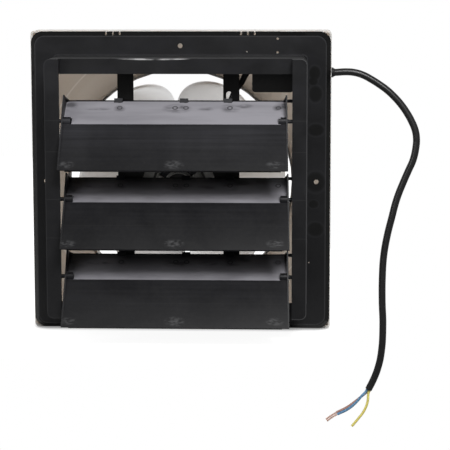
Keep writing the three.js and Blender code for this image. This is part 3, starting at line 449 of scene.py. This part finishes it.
def flat_place(tree, across, up):
    """Two coordinates as a flat vector, on which marks are laid."""
    joined = tree.nodes.new("ShaderNodeCombineXYZ")
    tree.links.new(across, joined.inputs["X"])
    tree.links.new(up, joined.inputs["Y"])
    return joined.outputs["Vector"]


def length_of(tree, vector):
    """How long a vector is."""
    measured = tree.nodes.new("ShaderNodeVectorMath")
    measured.operation = "LENGTH"
    tree.links.new(vector, measured.inputs[0])
    return measured.outputs["Value"]


def away_from(tree, value, middle):
    """How far a value is from a middle, to either side."""
    return worked(tree, "ABSOLUTE", worked(tree, "SUBTRACT", value, middle))


def nearest_mark(tree, place, marks):
    """The distance to the nearest of some oval marks, where 1 is the mark's own edge."""
    nearest = 100.0
    for across, up, width, height in marks:
        reach = tree.nodes.new("ShaderNodeVectorMath")
        reach.operation = "MULTIPLY_ADD"
        reach.inputs[1].default_value = (1 / (width * mm), 1 / (height * mm), 0)
        reach.inputs[2].default_value = (-across / width, -up / height, 0)
        tree.links.new(place, reach.inputs[0])
        nearest = worked(tree, "MINIMUM", nearest, length_of(tree, reach.outputs["Vector"]))
    return nearest


def speckle(tree, place, scale, detail, stretch=(1, 1, 1)):
    """A noise from 0 to 1 whose features may be drawn out along an axis."""
    spaced = tree.nodes.new("ShaderNodeMapping")
    spaced.inputs["Scale"].default_value = stretch
    tree.links.new(place, spaced.inputs["Vector"])
    return noise(tree, spaced.outputs["Vector"], scale, detail)


def overlaid(material, amount, colour):
    """Lays a colour over what a material has so far, where the amount is 1."""
    tree = material.node_tree
    base = tree.nodes["Principled BSDF"].inputs["Base Color"]
    under = base.links[0].from_socket
    mix = tree.nodes.new("ShaderNodeMix")
    mix.data_type = "RGBA"
    mix.inputs["B"].default_value = (*colour, 1)
    tree.links.new(amount, mix.inputs["Factor"])
    tree.links.new(under, mix.inputs["A"])
    tree.links.new(mix.outputs["Result"], base)


def coordinates(tree, kind="Object"):
    """The parts of an object's own coordinates, of its normals, or of a direction."""
    parts = tree.nodes.new("ShaderNodeSeparateXYZ")
    tree.links.new(tree.nodes.new("ShaderNodeTexCoord").outputs[kind], parts.inputs["Vector"])
    return parts.outputs


black_moulding = skinned(
    "black_moulding", (0.0074, 0.0074, 0.0086), roughness=0.38, gloss_change=0.16,
    grain=700, bump=0.2, dust=0.02, specular=0.4,
)


def outside_square(tree, x, z, half, corner):
    """The distance outside a rounded square about the fan axis, given in millimetres."""
    beyond = []
    for across in (x, z):
        past = worked(tree, "SUBTRACT", worked(tree, "ABSOLUTE", across), (half - corner) * mm)
        beyond.append(worked(tree, "MAXIMUM", past, 0))
    return worked(tree, "SUBTRACT", length_of(tree, flat_place(tree, *beyond)), corner * mm)


def polished(material, amount, roughness):
    """Makes a material smoother where the amount is 1."""
    tree = material.node_tree
    socket = tree.nodes["Principled BSDF"].inputs["Roughness"]
    most = ramp(tree, amount, 0, 1, 1, roughness)
    tree.links.new(worked(tree, "MINIMUM", socket.links[0].from_socket, most), socket)


def age_frame(material):
    """Sink marks, knit lines, bloom on the shutter side, and painted shade and highlights on edges.
    """
    tree = material.node_tree
    x, y, z = coordinates(tree)
    front_view = flat_place(tree, x, z)
    place = tree.nodes.new("ShaderNodeTexCoord").outputs["Object"]
    # A cloudy bloom on the shutter side, painted heavier towards the top as light falling from above.
    facing = ramp(tree, coordinates(tree, "Normal")["Y"], -0.9, -0.98)
    cloud = ramp(tree, speckle(tree, place, 22, 6, (1, 1, 1.6)), 0.42, 0.72)
    lit_from_above = ramp(tree, z, -100 * mm, 130 * mm, 0.0, 0.85)
    overlaid(material, product(tree, facing, cloud, lit_from_above), (0.0193, 0.0193, 0.0228))
    # Sink marks: painted shade in each dip and a painted highlight round its rim.
    sinks = [
        (131.5, 107, 5.5, 7),
        (130, 99, 4.5, 4),
        (132.3, 86.5, 6.5, 8),
        (133, 51.3, 8, 6),
        (133, 0, 9.5, 10),
        (131, -22, 5, 4),
        (133, -47, 8, 7),
        (-131, 60, 5, 9),
    ]
    to_sink = nearest_mark(tree, front_view, sinks)
    sink_shade = ramp(tree, to_sink, 1.1, 0.75, 0, 0.9)
    overlaid(material, product(tree, sink_shade, facing), (0.0025, 0.0025, 0.0025))
    sink_rim_highlight = ramp(tree, away_from(tree, to_sink, 1.12), 0.2, 0.04, 0, 0.22)
    overlaid(material, product(tree, sink_rim_highlight, facing), (0.033, 0.033, 0.036))
    knit_lines = [(0, height, 400, 0.35) for height in (66, 36.5, -9, -46)]
    line = ramp(tree, nearest_mark(tree, front_view, knit_lines), 1.4, 0.6, 0, 0.6)
    mouth = ramp(tree, y, -70 * mm, -72 * mm)
    overlaid(material, product(tree, line, mouth), (0.03, 0.03, 0.031))

    # The flared edge is smooth, and painted darker as shade.
    from_edge = outside_square(tree, x, z, half=142.6, corner=9)
    shaded_slope = ramp(tree, from_edge, 0.5 * mm, 0.9 * mm)
    overlaid(material, shaded_slope, (0.002, 0.002, 0.002))
    polished(material, shaded_slope, 0.2)
    # Painted highlights along the edge of the flat face and round the neck's foot.
    face_edge_highlight = ramp(tree, worked(tree, "ABSOLUTE", from_edge), 0.55 * mm, 0.3 * mm)
    from_foot = outside_square(tree, x, z, half=124.5, corner=4)
    foot_highlight = ramp(tree, worked(tree, "ABSOLUTE", from_foot), 0.6 * mm, 0.3 * mm)
    edges = worked(tree, "MAXIMUM", product(tree, face_edge_highlight, 0.7), product(tree, foot_highlight, 0.6))
    overlaid(material, edges, (0.045, 0.045, 0.048))

    # A painted highlight along the neck's front edge, strongest at the right.
    neck_front = ramp(tree, y, -71.8 * mm, -72.3 * mm)
    front_edge = ramp(tree, outside_square(tree, x, z, half=124, corner=6), -0.75 * mm, -0.45 * mm)
    highlight_to_right = ramp(tree, x, -124 * mm, 124 * mm, 0.25, 0.9)
    overlaid(material, product(tree, neck_front, front_edge, highlight_to_right), (0.075, 0.075, 0.078))
    # The wall above the mouth is scuffed, and the scuffs carry a painted glint.
    scuff_glints = [(-21, 123.7, 32, 1.1)]
    forward = ramp(tree, y, -62 * mm, -63 * mm)
    on_scuff_glint = ramp(tree, nearest_mark(tree, front_view, scuff_glints), 1.1, 0.8)
    flecks = ramp(tree, speckle(tree, place, 240, 3, (0.25, 1, 1)), 0.42, 0.58)
    overlaid(material, product(tree, forward, on_scuff_glint, flecks, 0.9), (0.6, 0.6, 0.6))


age_frame(black_moulding)
eased_copy("main_frame", "frame_moulding", "housing", black_moulding, 0.45)

# ---------------------------------------------------------------- front panel
# The room side is one pale moulding: a shallow square cover with a bell mouth that draws air to the
# blades. Four screws hold it on the frame's corner bosses.
pale_moulding = skinned(
    "pale_moulding", (0.76, 0.69, 0.63), roughness=0.42, gloss_change=0.12,
    grain=800, bump=0.2, dust=0.06,
)


def paint_bell_mouth_highlight(material):
    """A thin painted highlight round the inner side, where the bell mouth runs into the corners."""
    tree = material.node_tree
    highlight_radius = 142 * mm
    x, _, z = coordinates(tree)
    off_highlight = away_from(tree, length_of(tree, flat_place(tree, x, z)), highlight_radius)
    highlight_line = ramp(tree, off_highlight, 0.9 * mm, 0.5 * mm, 0, 0.7)
    inner_side = ramp(tree, coordinates(tree, "Normal")["Y"], -0.2, -0.5)
    overlaid(material, product(tree, highlight_line, inner_side), (0.97, 0.91, 0.86))


paint_bell_mouth_highlight(pale_moulding)
translucent(pale_moulding, 1.0, 8)
eased_copy("front_panel", "bell_mouth_panel", "housing", pale_moulding, 0.4)
zinc = skinned(
    "zinc_plate", (0.56, 0.56, 0.54), roughness=0.36, gloss_change=0.2,
    grain=1600, bump=0.3, dust=0.02, metallic=1.0,
)


def merged(mesh, other):
    """Adds a second bmesh to the first, and frees the second."""
    carrier = bpy.data.meshes.new("carrier")
    other.to_mesh(carrier)
    other.free()
    mesh.from_mesh(carrier)
    bpy.data.meshes.remove(carrier)


head_radius, shank_radius, thread_pitch = 3.6, 1.5, 1.2


def screw(node, name, at, out, height, shank_length):
    """A zinc-plated pan-head screw: a dome with a round recess, on a shank with turned ridges."""
    dome = [
        (0, height * 0.72),
        (head_radius * 0.3, height * 0.74),
        (head_radius * 0.34, height),
        (head_radius * 0.6, height * 0.96),
        (head_radius * 0.9, height * 0.7),
        (head_radius, height * 0.3),
        (head_radius, 0),
        (0, 0),
    ]
    mesh = turned(bmesh.new(), dome, at, out, 32)
    threads = int(shank_length / thread_pitch)
    shank = [(0, 0.1), (shank_radius, 0.1)]
    for ridge in range(threads):
        low = -shank_length * (ridge + 0.25) / threads
        shank += [(shank_radius, low), (shank_radius * 0.84, low - 0.5 * shank_length / threads)]
    shank += [(shank_radius * 0.7, -shank_length), (0, -shank_length)]
    merged(mesh, turned(bmesh.new(), shank, at, out, 24))
    return shown(mesh, name, "housing", node, zinc)


for number, (side, end) in enumerate([(-1, 1), (1, 1), (-1, -1), (1, -1)], start=1):
    screw(
        f"panel_screw_{number}",
        f"panel_pan_screw_{number}",
        at=(side * 134, 38.3, end * 134),
        out=(0, 1, 0),
        height=1.8,
        shank_length=18.2,
    )

# ---------------------------------------------------------------- motor brackets
# Two black painted steel straps run from the top to the bottom of the neck, with feet bent forward
# under the walls and ears that carry the motor.
painted_steel = skinned(
    "painted_steel", (0.004, 0.004, 0.004), roughness=0.45, gloss_change=0.15,
    grain=1000, bump=0.3, dust=0.02, specular=0.25,
)
for hand in ("left", "right"):
    eased_copy(
        f"motor_bracket_{hand}", f"{hand}_strap", "housing", painted_steel, 0.3
    )
for level, end in [("top", 1), ("bottom", -1)]:
    for hand in ("left", "right"):
        low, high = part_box(f"bracket_screw_{level}_{hand}")
        middle = (low + high) / 2 / mm
        screw(
            f"bracket_screw_{level}_{hand}",
            f"strap_screw_{level}_{hand}",
            at=(middle.x, middle.y, end * 119.3),
            out=(0, 0, -end),
            height=1.6,
            shank_length=4.3,
        )

# ---------------------------------------------------------------- motor
# A small shaded-pole motor: two pressed and cast bells, dull grey, round a laminated stator with
# enamelled windings, and a rotor on a ground shaft in two sintered bearings.
cast_shell = skinned(
    "cast_shell", (0.74, 0.72, 0.69), roughness=0.5, gloss_change=0.16,
    grain=500, bump=0.5, dust=0.08, metallic=0.05,
)


def cap_and_shade_bell(material):
    """A black cap in the boss's dished end, and painted shade where the raised middle meets the ring.
    """
    tree = material.node_tree
    raised_radius = 25 * mm
    x, y, z = coordinates(tree)
    radius = length_of(tree, flat_place(tree, x, z))
    within_cap = ramp(tree, radius, 11.9 * mm, 11.5 * mm)
    in_dish = ramp(tree, y, -30.4 * mm, -30.6 * mm)
    overlaid(material, product(tree, within_cap, in_dish, 0.96), (0.008, 0.008, 0.008))
    # Painted shade in the corner round the raised middle.
    corner = ramp(tree, away_from(tree, radius, raised_radius), 1.6 * mm, 0.7 * mm)
    overlaid(material, product(tree, corner, 0.9), (0.02, 0.019, 0.018))


cap_and_shade_bell(cast_shell)
for end in ("rear", "front"):
    eased_copy(
        f"motor_{end}_housing",
        f"{end}_bell",
        "housing",
        cast_shell,
        0.35,
        sharp=30,
    )
laminations = skinned(
    "laminations", (0.16, 0.16, 0.17), roughness=0.5, gloss_change=0.2,
    grain=1500, bump=0.4, dust=0.05, metallic=0.9,
)
enamelled_wire = skinned(
    "enamelled_wire", (0.36, 0.11, 0.035), roughness=0.3, gloss_change=0.1,
    grain=1800, bump=0.8, dust=0.02, metallic=0.6,
)
sintered = skinned(
    "sintered_bronze", (0.42, 0.27, 0.12), roughness=0.5, gloss_change=0.15,
    grain=2500, bump=0.6, dust=0.0, metallic=0.9,
)
ground_steel = skinned(
    "ground_steel", (0.5, 0.5, 0.51), roughness=0.22, gloss_change=0.1,
    grain=2500, bump=0.1, dust=0.0, metallic=1.0,
)
for node, name, body, finish, material in [
    ("stator_core", "stator_stack", "housing", "laminated_steel", laminations),
    ("rotor_core", "rotor_stack", "rotor", "laminated_steel", laminations),
    ("winding_rear", "rear_winding", "housing", "enamelled_wire", enamelled_wire),
    ("winding_front", "front_winding", "housing", "enamelled_wire", enamelled_wire),
    ("bearing_rear", "rear_bearing", "housing", "sintered_bronze", sintered),
    ("bearing_front", "front_bearing", "housing", "sintered_bronze", sintered),
    ("motor_shaft", "shaft", "rotor", "shaft_steel", ground_steel),
]:
    eased_copy(node, name, body, material, 0.2)
for level, end in [("upper", 1), ("lower", -1)]:
    for hand, side in [("left", -1), ("right", 1)]:
        screw(
            f"motor_screw_{level}_{hand}",
            f"ear_screw_{level}_{hand}",
            at=(side * 47.5, -30.3, end * 24),
            out=(0, -1, 0),
            height=1.6,
            shank_length=6.2,
        )

# ---------------------------------------------------------------- propeller
# Six broad pale blades moulded in one with a cup-shaped hub, held on the shaft by a domed nut.
blade_tip = 103.6
blade_thickness = 1.7
blade_half_angle = math.radians(29.9)
blade_count, first_blade = 6, math.radians(4)
hub_radius, hub_start, hub_length, bore = 24, 7, 20, 4.3
blade_polymer = skinned(
    "blade_polymer", (0.76, 0.73, 0.7), roughness=0.36, gloss_change=0.1,
    grain=700, bump=0.15, dust=0.05,
)
translucent(blade_polymer, 0.8, 4)


def blade(mesh, middle):
    """One twisted blade on a screw surface, with rounded corners and about 60 degrees wide."""
    made = bmesh.ops.create_grid(mesh, x_segments=28, y_segments=20, size=0.5)["verts"]
    lead, camber, sunk_in_hub, root_width = 32, 3, 1.9, 0.6
    inner, outer = hub_radius - sunk_in_hub, 0.996 * blade_tip
    for point in made:
        out = math.sin((point.co.x + 0.5) * math.pi / 2)
        across = 2 * point.co.y
        radius = inner + (outer - inner) * out
        share = radius / blade_tip
        widen = min(max((share - 0.25) / 0.4, 0), 1)
        root = root_width + (1 - root_width) * widen * widen * (3 - 2 * widen)
        swing = across * blade_half_angle * root * math.sqrt(1 - share**8)
        rise = hub_start + hub_length / 2 - 0.5 - lead * swing + camber * (1 - across * across) * out
        turn = middle + swing
        point.co = Vector((radius * math.cos(turn), rise, radius * math.sin(turn))) * mm
    faces = list({face for point in made for face in point.link_faces})
    bmesh.ops.solidify(mesh, geom=faces, thickness=blade_thickness * mm)


propeller = bmesh.new()
for number in range(blade_count):
    blade(propeller, first_blade + number * math.tau / blade_count)
bmesh.ops.translate(propeller, verts=propeller.verts, vec=(0, blade_thickness / 2 * mm, 0))
bmesh.ops.recalc_face_normals(propeller, faces=propeller.faces)
hub_outline = [
    (bore, 27),
    (20.5, 27),
    (22.4, 26.2),
    (23.6, 24.6),
    (hub_radius, 22.6),
    (hub_radius, hub_start),
    (21.6, hub_start),
    (21.6, 23),
    (19.6, 24.6),
    (9, 24.6),
    (9, 8),
    (bore, 8),
    (bore, 27),
]
fan_axis = ((0, 0, 0), (0, 1, 0))
merged(propeller, turned(bmesh.new(), hub_outline, *fan_axis, 72))
shown(propeller, "blades_and_hub", "rotor", "propeller", blade_polymer)

nut_outline = [
    (0, 36.5),
    (5, 36.3),
    (8.6, 35.2),
    (11.2, 33.2),
    (12.6, 30.6),
    (13, 27.8),
    (12.7, 27.3),
    (bore, 27.3),
    (bore, 33.8),
    (0, 33.8),
]
nut = turned(bmesh.new(), nut_outline, *fan_axis, 48)
shown(nut, "domed_nut", "rotor", "spinner_nut", blade_polymer)

# ---------------------------------------------------------------- terminal box and leads
# A small black box hangs in the neck's upper right corner on one screw. It holds the run capacitor
# and the terminals, and the motor's lead and the flex meet in it.
box_moulding = skinned(
    "box_moulding", (0.016, 0.0155, 0.0155), roughness=0.45, gloss_change=0.2,
    grain=400, bump=0.3, dust=0.05, specular=0.4,
)
capacitor_case = skinned(
    "capacitor_case", (0.66, 0.65, 0.61), roughness=0.45, gloss_change=0.1,
    grain=900, bump=0.2, dust=0.03,
)
terminal_nylon = skinned(
    "terminal_nylon", (0.75, 0.74, 0.7), roughness=0.4, gloss_change=0.1,
    grain=900, bump=0.15, dust=0.02,
)
for node, name, finish, material, ease in [
    ("terminal_box", "wiring_box", "black_moulding", box_moulding, 0.4),
    ("terminal_box_lid", "wiring_box_lid", "black_moulding", box_moulding, 0.4),
    ("capacitor", "run_capacitor", "capacitor_case", capacitor_case, 0.8),
    ("terminal_block", "terminals", "white_nylon", terminal_nylon, 0.3),
]:
    eased_copy(node, name, "housing", material, ease)
low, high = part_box("terminal_box_screw")
middle = (low + high) / 2 / mm
screw(
    "terminal_box_screw",
    "box_screw",
    at=(middle.x, middle.y, 118.9),
    out=(0, 0, -1),
    height=1.6,
    shank_length=4.7,
)
motor_lead_radius = 3
motor_lead_route = [
    (74.5, -12, 110.8),
    (68, -12, 110.3),
    (64.2, -12.5, 105.8),
    (60.2, -14, 98.4),
    (54.4, -17, 90.6),
    (50.9, -18.5, 82.5),
    (46.5, -19, 71),
    (40, -19, 55),
    (32, -16, 39.5),
    (25.7, -13.5, 28.9),
]
inner_flex_route = [
    (144.6, 15, 106.8),
    (141, 14.9, 106.8),
    (136, 13.6, 106.8),
    (128, 10.4, 106.8),
    (118, 6.6, 106.8),
    (111.5, 5.5, 106.8),
    (107, 5.5, 106.8),
]
for name, route, radius, node in [
    ("motor_flex", motor_lead_route, motor_lead_radius, "motor_lead"),
    ("inner_flex", inner_flex_route, flex_radius, "cord_inner_run"),
]:
    flexible(name, route, radius, jacket_rubber, node)

# ---------------------------------------------------------------- louvres
# Three black moulded louvres, each a folded blade between two end plates, swing on pins in the
# frame's lugs. They are thin, and the fan's draught lifts them.
louvre_moulding = skinned(
    "louvre_moulding", (0.0044, 0.0044, 0.0056), roughness=0.42, gloss_change=0.14,
    grain=500, bump=0.15, dust=0.02, specular=0.29,
)


def bloom_and_sheen_louvre(material):
    """Years of bluish bloom and painted sheen on the upper sheets, most on the top louvre, and worn
    patches.

    All three louvres share one set of marks, at the heights that they have on the top louvre.
    """
    tree = material.node_tree
    place = tree.nodes.new("ShaderNodeTexCoord").outputs["Object"]
    x, y, z = coordinates(tree)
    pitch, lowest = 74.5 * mm, 19 * mm
    pivot_forward, pivot_height = 65.5 * mm, 65 * mm
    height = worked(tree, "WRAP", z, lowest + pitch, lowest)
    front_view = flat_place(tree, x, height)
    normal = coordinates(tree, "Normal")
    upper = ramp(tree, normal["Z"], 0.7, 0.8)
    front = ramp(tree, normal["Y"], -0.6, -0.75)

    # The bloom and painted sheen keep off the pivot bosses, the top edge and the three stops, and are
    # lighter to the right as painted light. On the lower two they fade towards the top in painted
    # shadow.
    forward = worked(tree, "ADD", y, pivot_forward)
    above = worked(tree, "SUBTRACT", height, pivot_height)
    from_pivot = length_of(tree, flat_place(tree, forward, above))
    clear_of_boss = ramp(tree, from_pivot, 4.3 * mm, 4.9 * mm)
    between_bosses = ramp(tree, worked(tree, "ABSOLUTE", x), 99.2 * mm, 98.7 * mm)
    off_boss = worked(tree, "MAXIMUM", clear_of_boss, between_bosses)
    top_louvre = ramp(tree, z, 15 * mm, 19 * mm)
    shadow_of_louvre_above = ramp(tree, height, 80 * mm, 67 * mm, 0.08, 0.85)
    lit_to_right = ramp(tree, x, -110 * mm, 110 * mm, 0.92, 1.1)
    patchy = ramp(tree, speckle(tree, place, 60, 7, (0.4, 1, 1)), 0.35, 0.65, 0.78, 1.06)
    most = worked(tree, "MAXIMUM", product(tree, shadow_of_louvre_above, patchy), top_louvre)
    share = product(tree, most, lit_to_right)
    broad = ramp(tree, speckle(tree, place, 30, 5, (0.35, 1.6, 1.6)), 0.3, 0.7, 0.8, 1.04)
    fine = ramp(tree, speckle(tree, place, 150, 5, (0.12, 1, 1)), 0.3, 0.7, 0.88, 1.08)
    streaks = product(tree, broad, fine)
    stops = [(x_stop, 84, 4.4, 3.4) for x_stop in (-55.5, 7.6, 49.8)]
    off_stop = ramp(tree, nearest_mark(tree, front_view, stops), 0.95, 1.05)
    below_edge = product(tree, ramp(tree, height, 82.1 * mm, 81.6 * mm), off_stop)
    sheet = product(tree, upper, off_boss, share, below_edge)

    # Ejector rings in the upper sheet, each in a rubbed halo, and a scuffed patch at the left end.
    sheet_slope = 0.829
    on_sheet = flat_place(tree, x, worked(tree, "DIVIDE", y, sheet_slope))
    rings = [(x_ring, -58.2, 2.3, 2.3) for x_ring in (-54.9, -1.9, 8.5, 50.5, 96.7)]
    to_ring = nearest_mark(tree, on_sheet, rings)
    ring = ramp(tree, away_from(tree, to_ring, 0.95), 0.36, 0.12, 0, 0.85)
    rubbed = [
        (-102.5, -55.5, 6.5, 8),
        (-54.9, -59.5, 5, 5),
        (0, -59.5, 12, 6),
        (30, -60, 9, 3),
        (50.5, -59, 9, 6),
        (62, -55, 9, 3.5),
        (-76, -60, 12, 2),
        (96.7, -58, 5, 5),
        (102, -55, 3.5, 4.5),
    ]
    near_rub = nearest_mark(tree, on_sheet, rubbed)
    wear = ramp(tree, speckle(tree, place, 190, 4, (0.4, 1, 1)), 0.38, 0.58, 0.1, 1)
    rub = product(tree, ramp(tree, near_rub, 1.3, 0.5, 0, 0.6), wear)
    kept = worked(tree, "SUBTRACT", 1.0, worked(tree, "MAXIMUM", ring, rub))
    # The pale bluish colour is bloom, and in part a painted sheen standing for the light the upper
    # sheets catch.
    overlaid(material, product(tree, sheet, streaks, kept), (0.375, 0.366, 0.4))

    # Scuffed patches near the lower corners and the middle of the lower sheet.
    patches = [(-101, 26.5, 7.5, 3.2), (-0.5, 26.8, 9.5, 4), (94.5, 27, 8.5, 3.4)]
    at_patch = ramp(tree, nearest_mark(tree, front_view, patches), 1.15, 0.6)
    scratches = ramp(tree, speckle(tree, place, 520, 5, (0.45, 1, 1)), 0.4, 0.66)
    overlaid(material, product(tree, at_patch, scratches, front, 0.75), (0.085, 0.085, 0.088))

    # A thin drawn-out film on the lower sheets, and the fine line across them.
    # The film is lighter towards the fold, and fainter on the lower two louvres as painted shade.
    towards_fold = ramp(tree, height, 22 * mm, 60 * mm, 0, 0.7)
    bands = ramp(tree, speckle(tree, place, 26, 2, (1, 0.05, 0.05)), 0.35, 0.65, 0.6, 1)
    painted_shade_below = ramp(tree, top_louvre, 0, 1, 0.35, 1)
    drawn = ramp(tree, speckle(tree, place, 320, 3, (0.02, 1, 1)), 0.35, 0.65, 0.6, 1.25)
    film = product(tree, towards_fold, bands, front, painted_shade_below, drawn)
    overlaid(material, film, (0.041, 0.041, 0.047))
    joint = [(0, 42.2, 400, 0.3)]
    line = ramp(tree, nearest_mark(tree, front_view, joint), 1.5, 0.5, 0, 0.35)
    overlaid(material, product(tree, line, front), (0.02, 0.02, 0.021))


bloom_and_sheen_louvre(louvre_moulding)
for number in (1, 2, 3):
    eased_copy(
        f"louvre_{number}",
        f"louvre_blade_{number}",
        f"louvre_{number}",
        louvre_moulding,
        0.3,
    )
eased_copy("link_bar", "shutter_link", "link_bar", black_moulding, 0.3)

# ---------------------------------------------------------------- studio
# The fan stands near the right-hand edge of a white table, past which the flex hangs. One soft box
# lights it from high in front, a weaker one from the left, and a bright backdrop from behind.
table_right, table_front, table_height = 0.158, -0.14, -0.1485
half_width, half_depth = 0.85, 0.9
table = bmesh.new()
bmesh.ops.create_grid(table, x_segments=1, y_segments=1, size=1)
bmesh.ops.scale(table, verts=table.verts, vec=(half_width, half_depth, 1))
table_middle = (table_right - half_width, table_front + half_depth, table_height)
bmesh.ops.translate(table, verts=table.verts, vec=table_middle)
table_data = bpy.data.meshes.new("table_top")
table.to_mesh(table_data)
table.free()
placed("table_top", table_data)

# The table's own light is for the camera alone; where something stands close, it fades to a painted
# shadow.
table_white = bpy.data.materials.new("table_white")
table_white.use_nodes = True
table_tree = table_white.node_tree
table_shader = table_tree.nodes["Principled BSDF"]
table_shader.inputs["Base Color"].default_value = (0.5, 0.5, 0.5, 1)
table_shader.inputs["Roughness"].default_value = 0.7
table_shader.inputs["Emission Color"].default_value = (1, 1, 1, 1)
painted_contact_shadow = table_tree.nodes.new("ShaderNodeAmbientOcclusion")
painted_contact_shadow.samples = 8
painted_contact_shadow.inputs["Distance"].default_value = 0.022
glow_and_contact_shadow = ramp(table_tree, painted_contact_shadow.outputs["AO"], 0.3, 0.75, 0.3, 0.94)
table_rays = table_tree.nodes.new("ShaderNodeLightPath").outputs
glow_seen = product(table_tree, table_rays["Is Camera Ray"], glow_and_contact_shadow)
table_tree.links.new(glow_seen, table_shader.inputs["Emission Strength"])
table_data.materials.append(table_white)


def chosen(tree, share, first, second):
    """The first value, or the second where the share is 1."""
    mix = tree.nodes.new("ShaderNodeMix")
    mix.data_type = "FLOAT"
    for label, term in (("Factor", share), ("A", first), ("B", second)):
        fed(tree, mix.inputs[label], term)
    return mix.outputs["Result"]


# The backdrop is bright behind the fan and dim before it. What shines mirrors a duller one, and to
# the camera it is plain white.
studio = bpy.data.worlds.new("studio")
scene.world = studio
studio.use_nodes = True
air = studio.node_tree
air.nodes.clear()
rays = air.nodes.new("ShaderNodeLightPath").outputs
behind = coordinates(air, "Generated")["Y"]
backdrop = ramp(air, behind, 0.0, 0.4, 0.12, 1.12)
in_gloss = ramp(air, behind, 0.4, 1.0, 0.2, 0.6)
ambient = chosen(air, rays["Is Glossy Ray"], backdrop, in_gloss)
seen = worked(air, "MAXIMUM", rays["Is Camera Ray"], rays["Is Transmission Ray"])
around = air.nodes.new("ShaderNodeBackground")
around.inputs["Color"].default_value = (1, 1, 1, 1)
air.links.new(chosen(air, seen, ambient, 1.0), around.inputs["Strength"])
horizon = air.nodes.new("ShaderNodeOutputWorld")
air.links.new(around.outputs["Background"], horizon.inputs["Surface"])


def soft_box(name, place, aim, width, height, watts):
    """A rectangular light at a place, turned to what it lights."""
    lamp = bpy.data.lights.new(name, "AREA")
    lamp.shape = "RECTANGLE"
    lamp.size = width
    lamp.size_y = height
    lamp.energy = watts
    holder = placed(name, lamp)
    holder.location = place
    holder.rotation_euler = (Vector(aim) - Vector(place)).to_track_quat("-Z", "Y").to_euler()


soft_box("key_box", (0.5, -1.5, 1.22), aim=(0, -0.05, 0), width=0.7, height=0.5, watts=28)
soft_box("left_box", (-1.25, -1.3, 0.5), aim=(0, 0, 0), width=0.7, height=0.7, watts=7)
scene.view_settings.view_transform = "Standard"
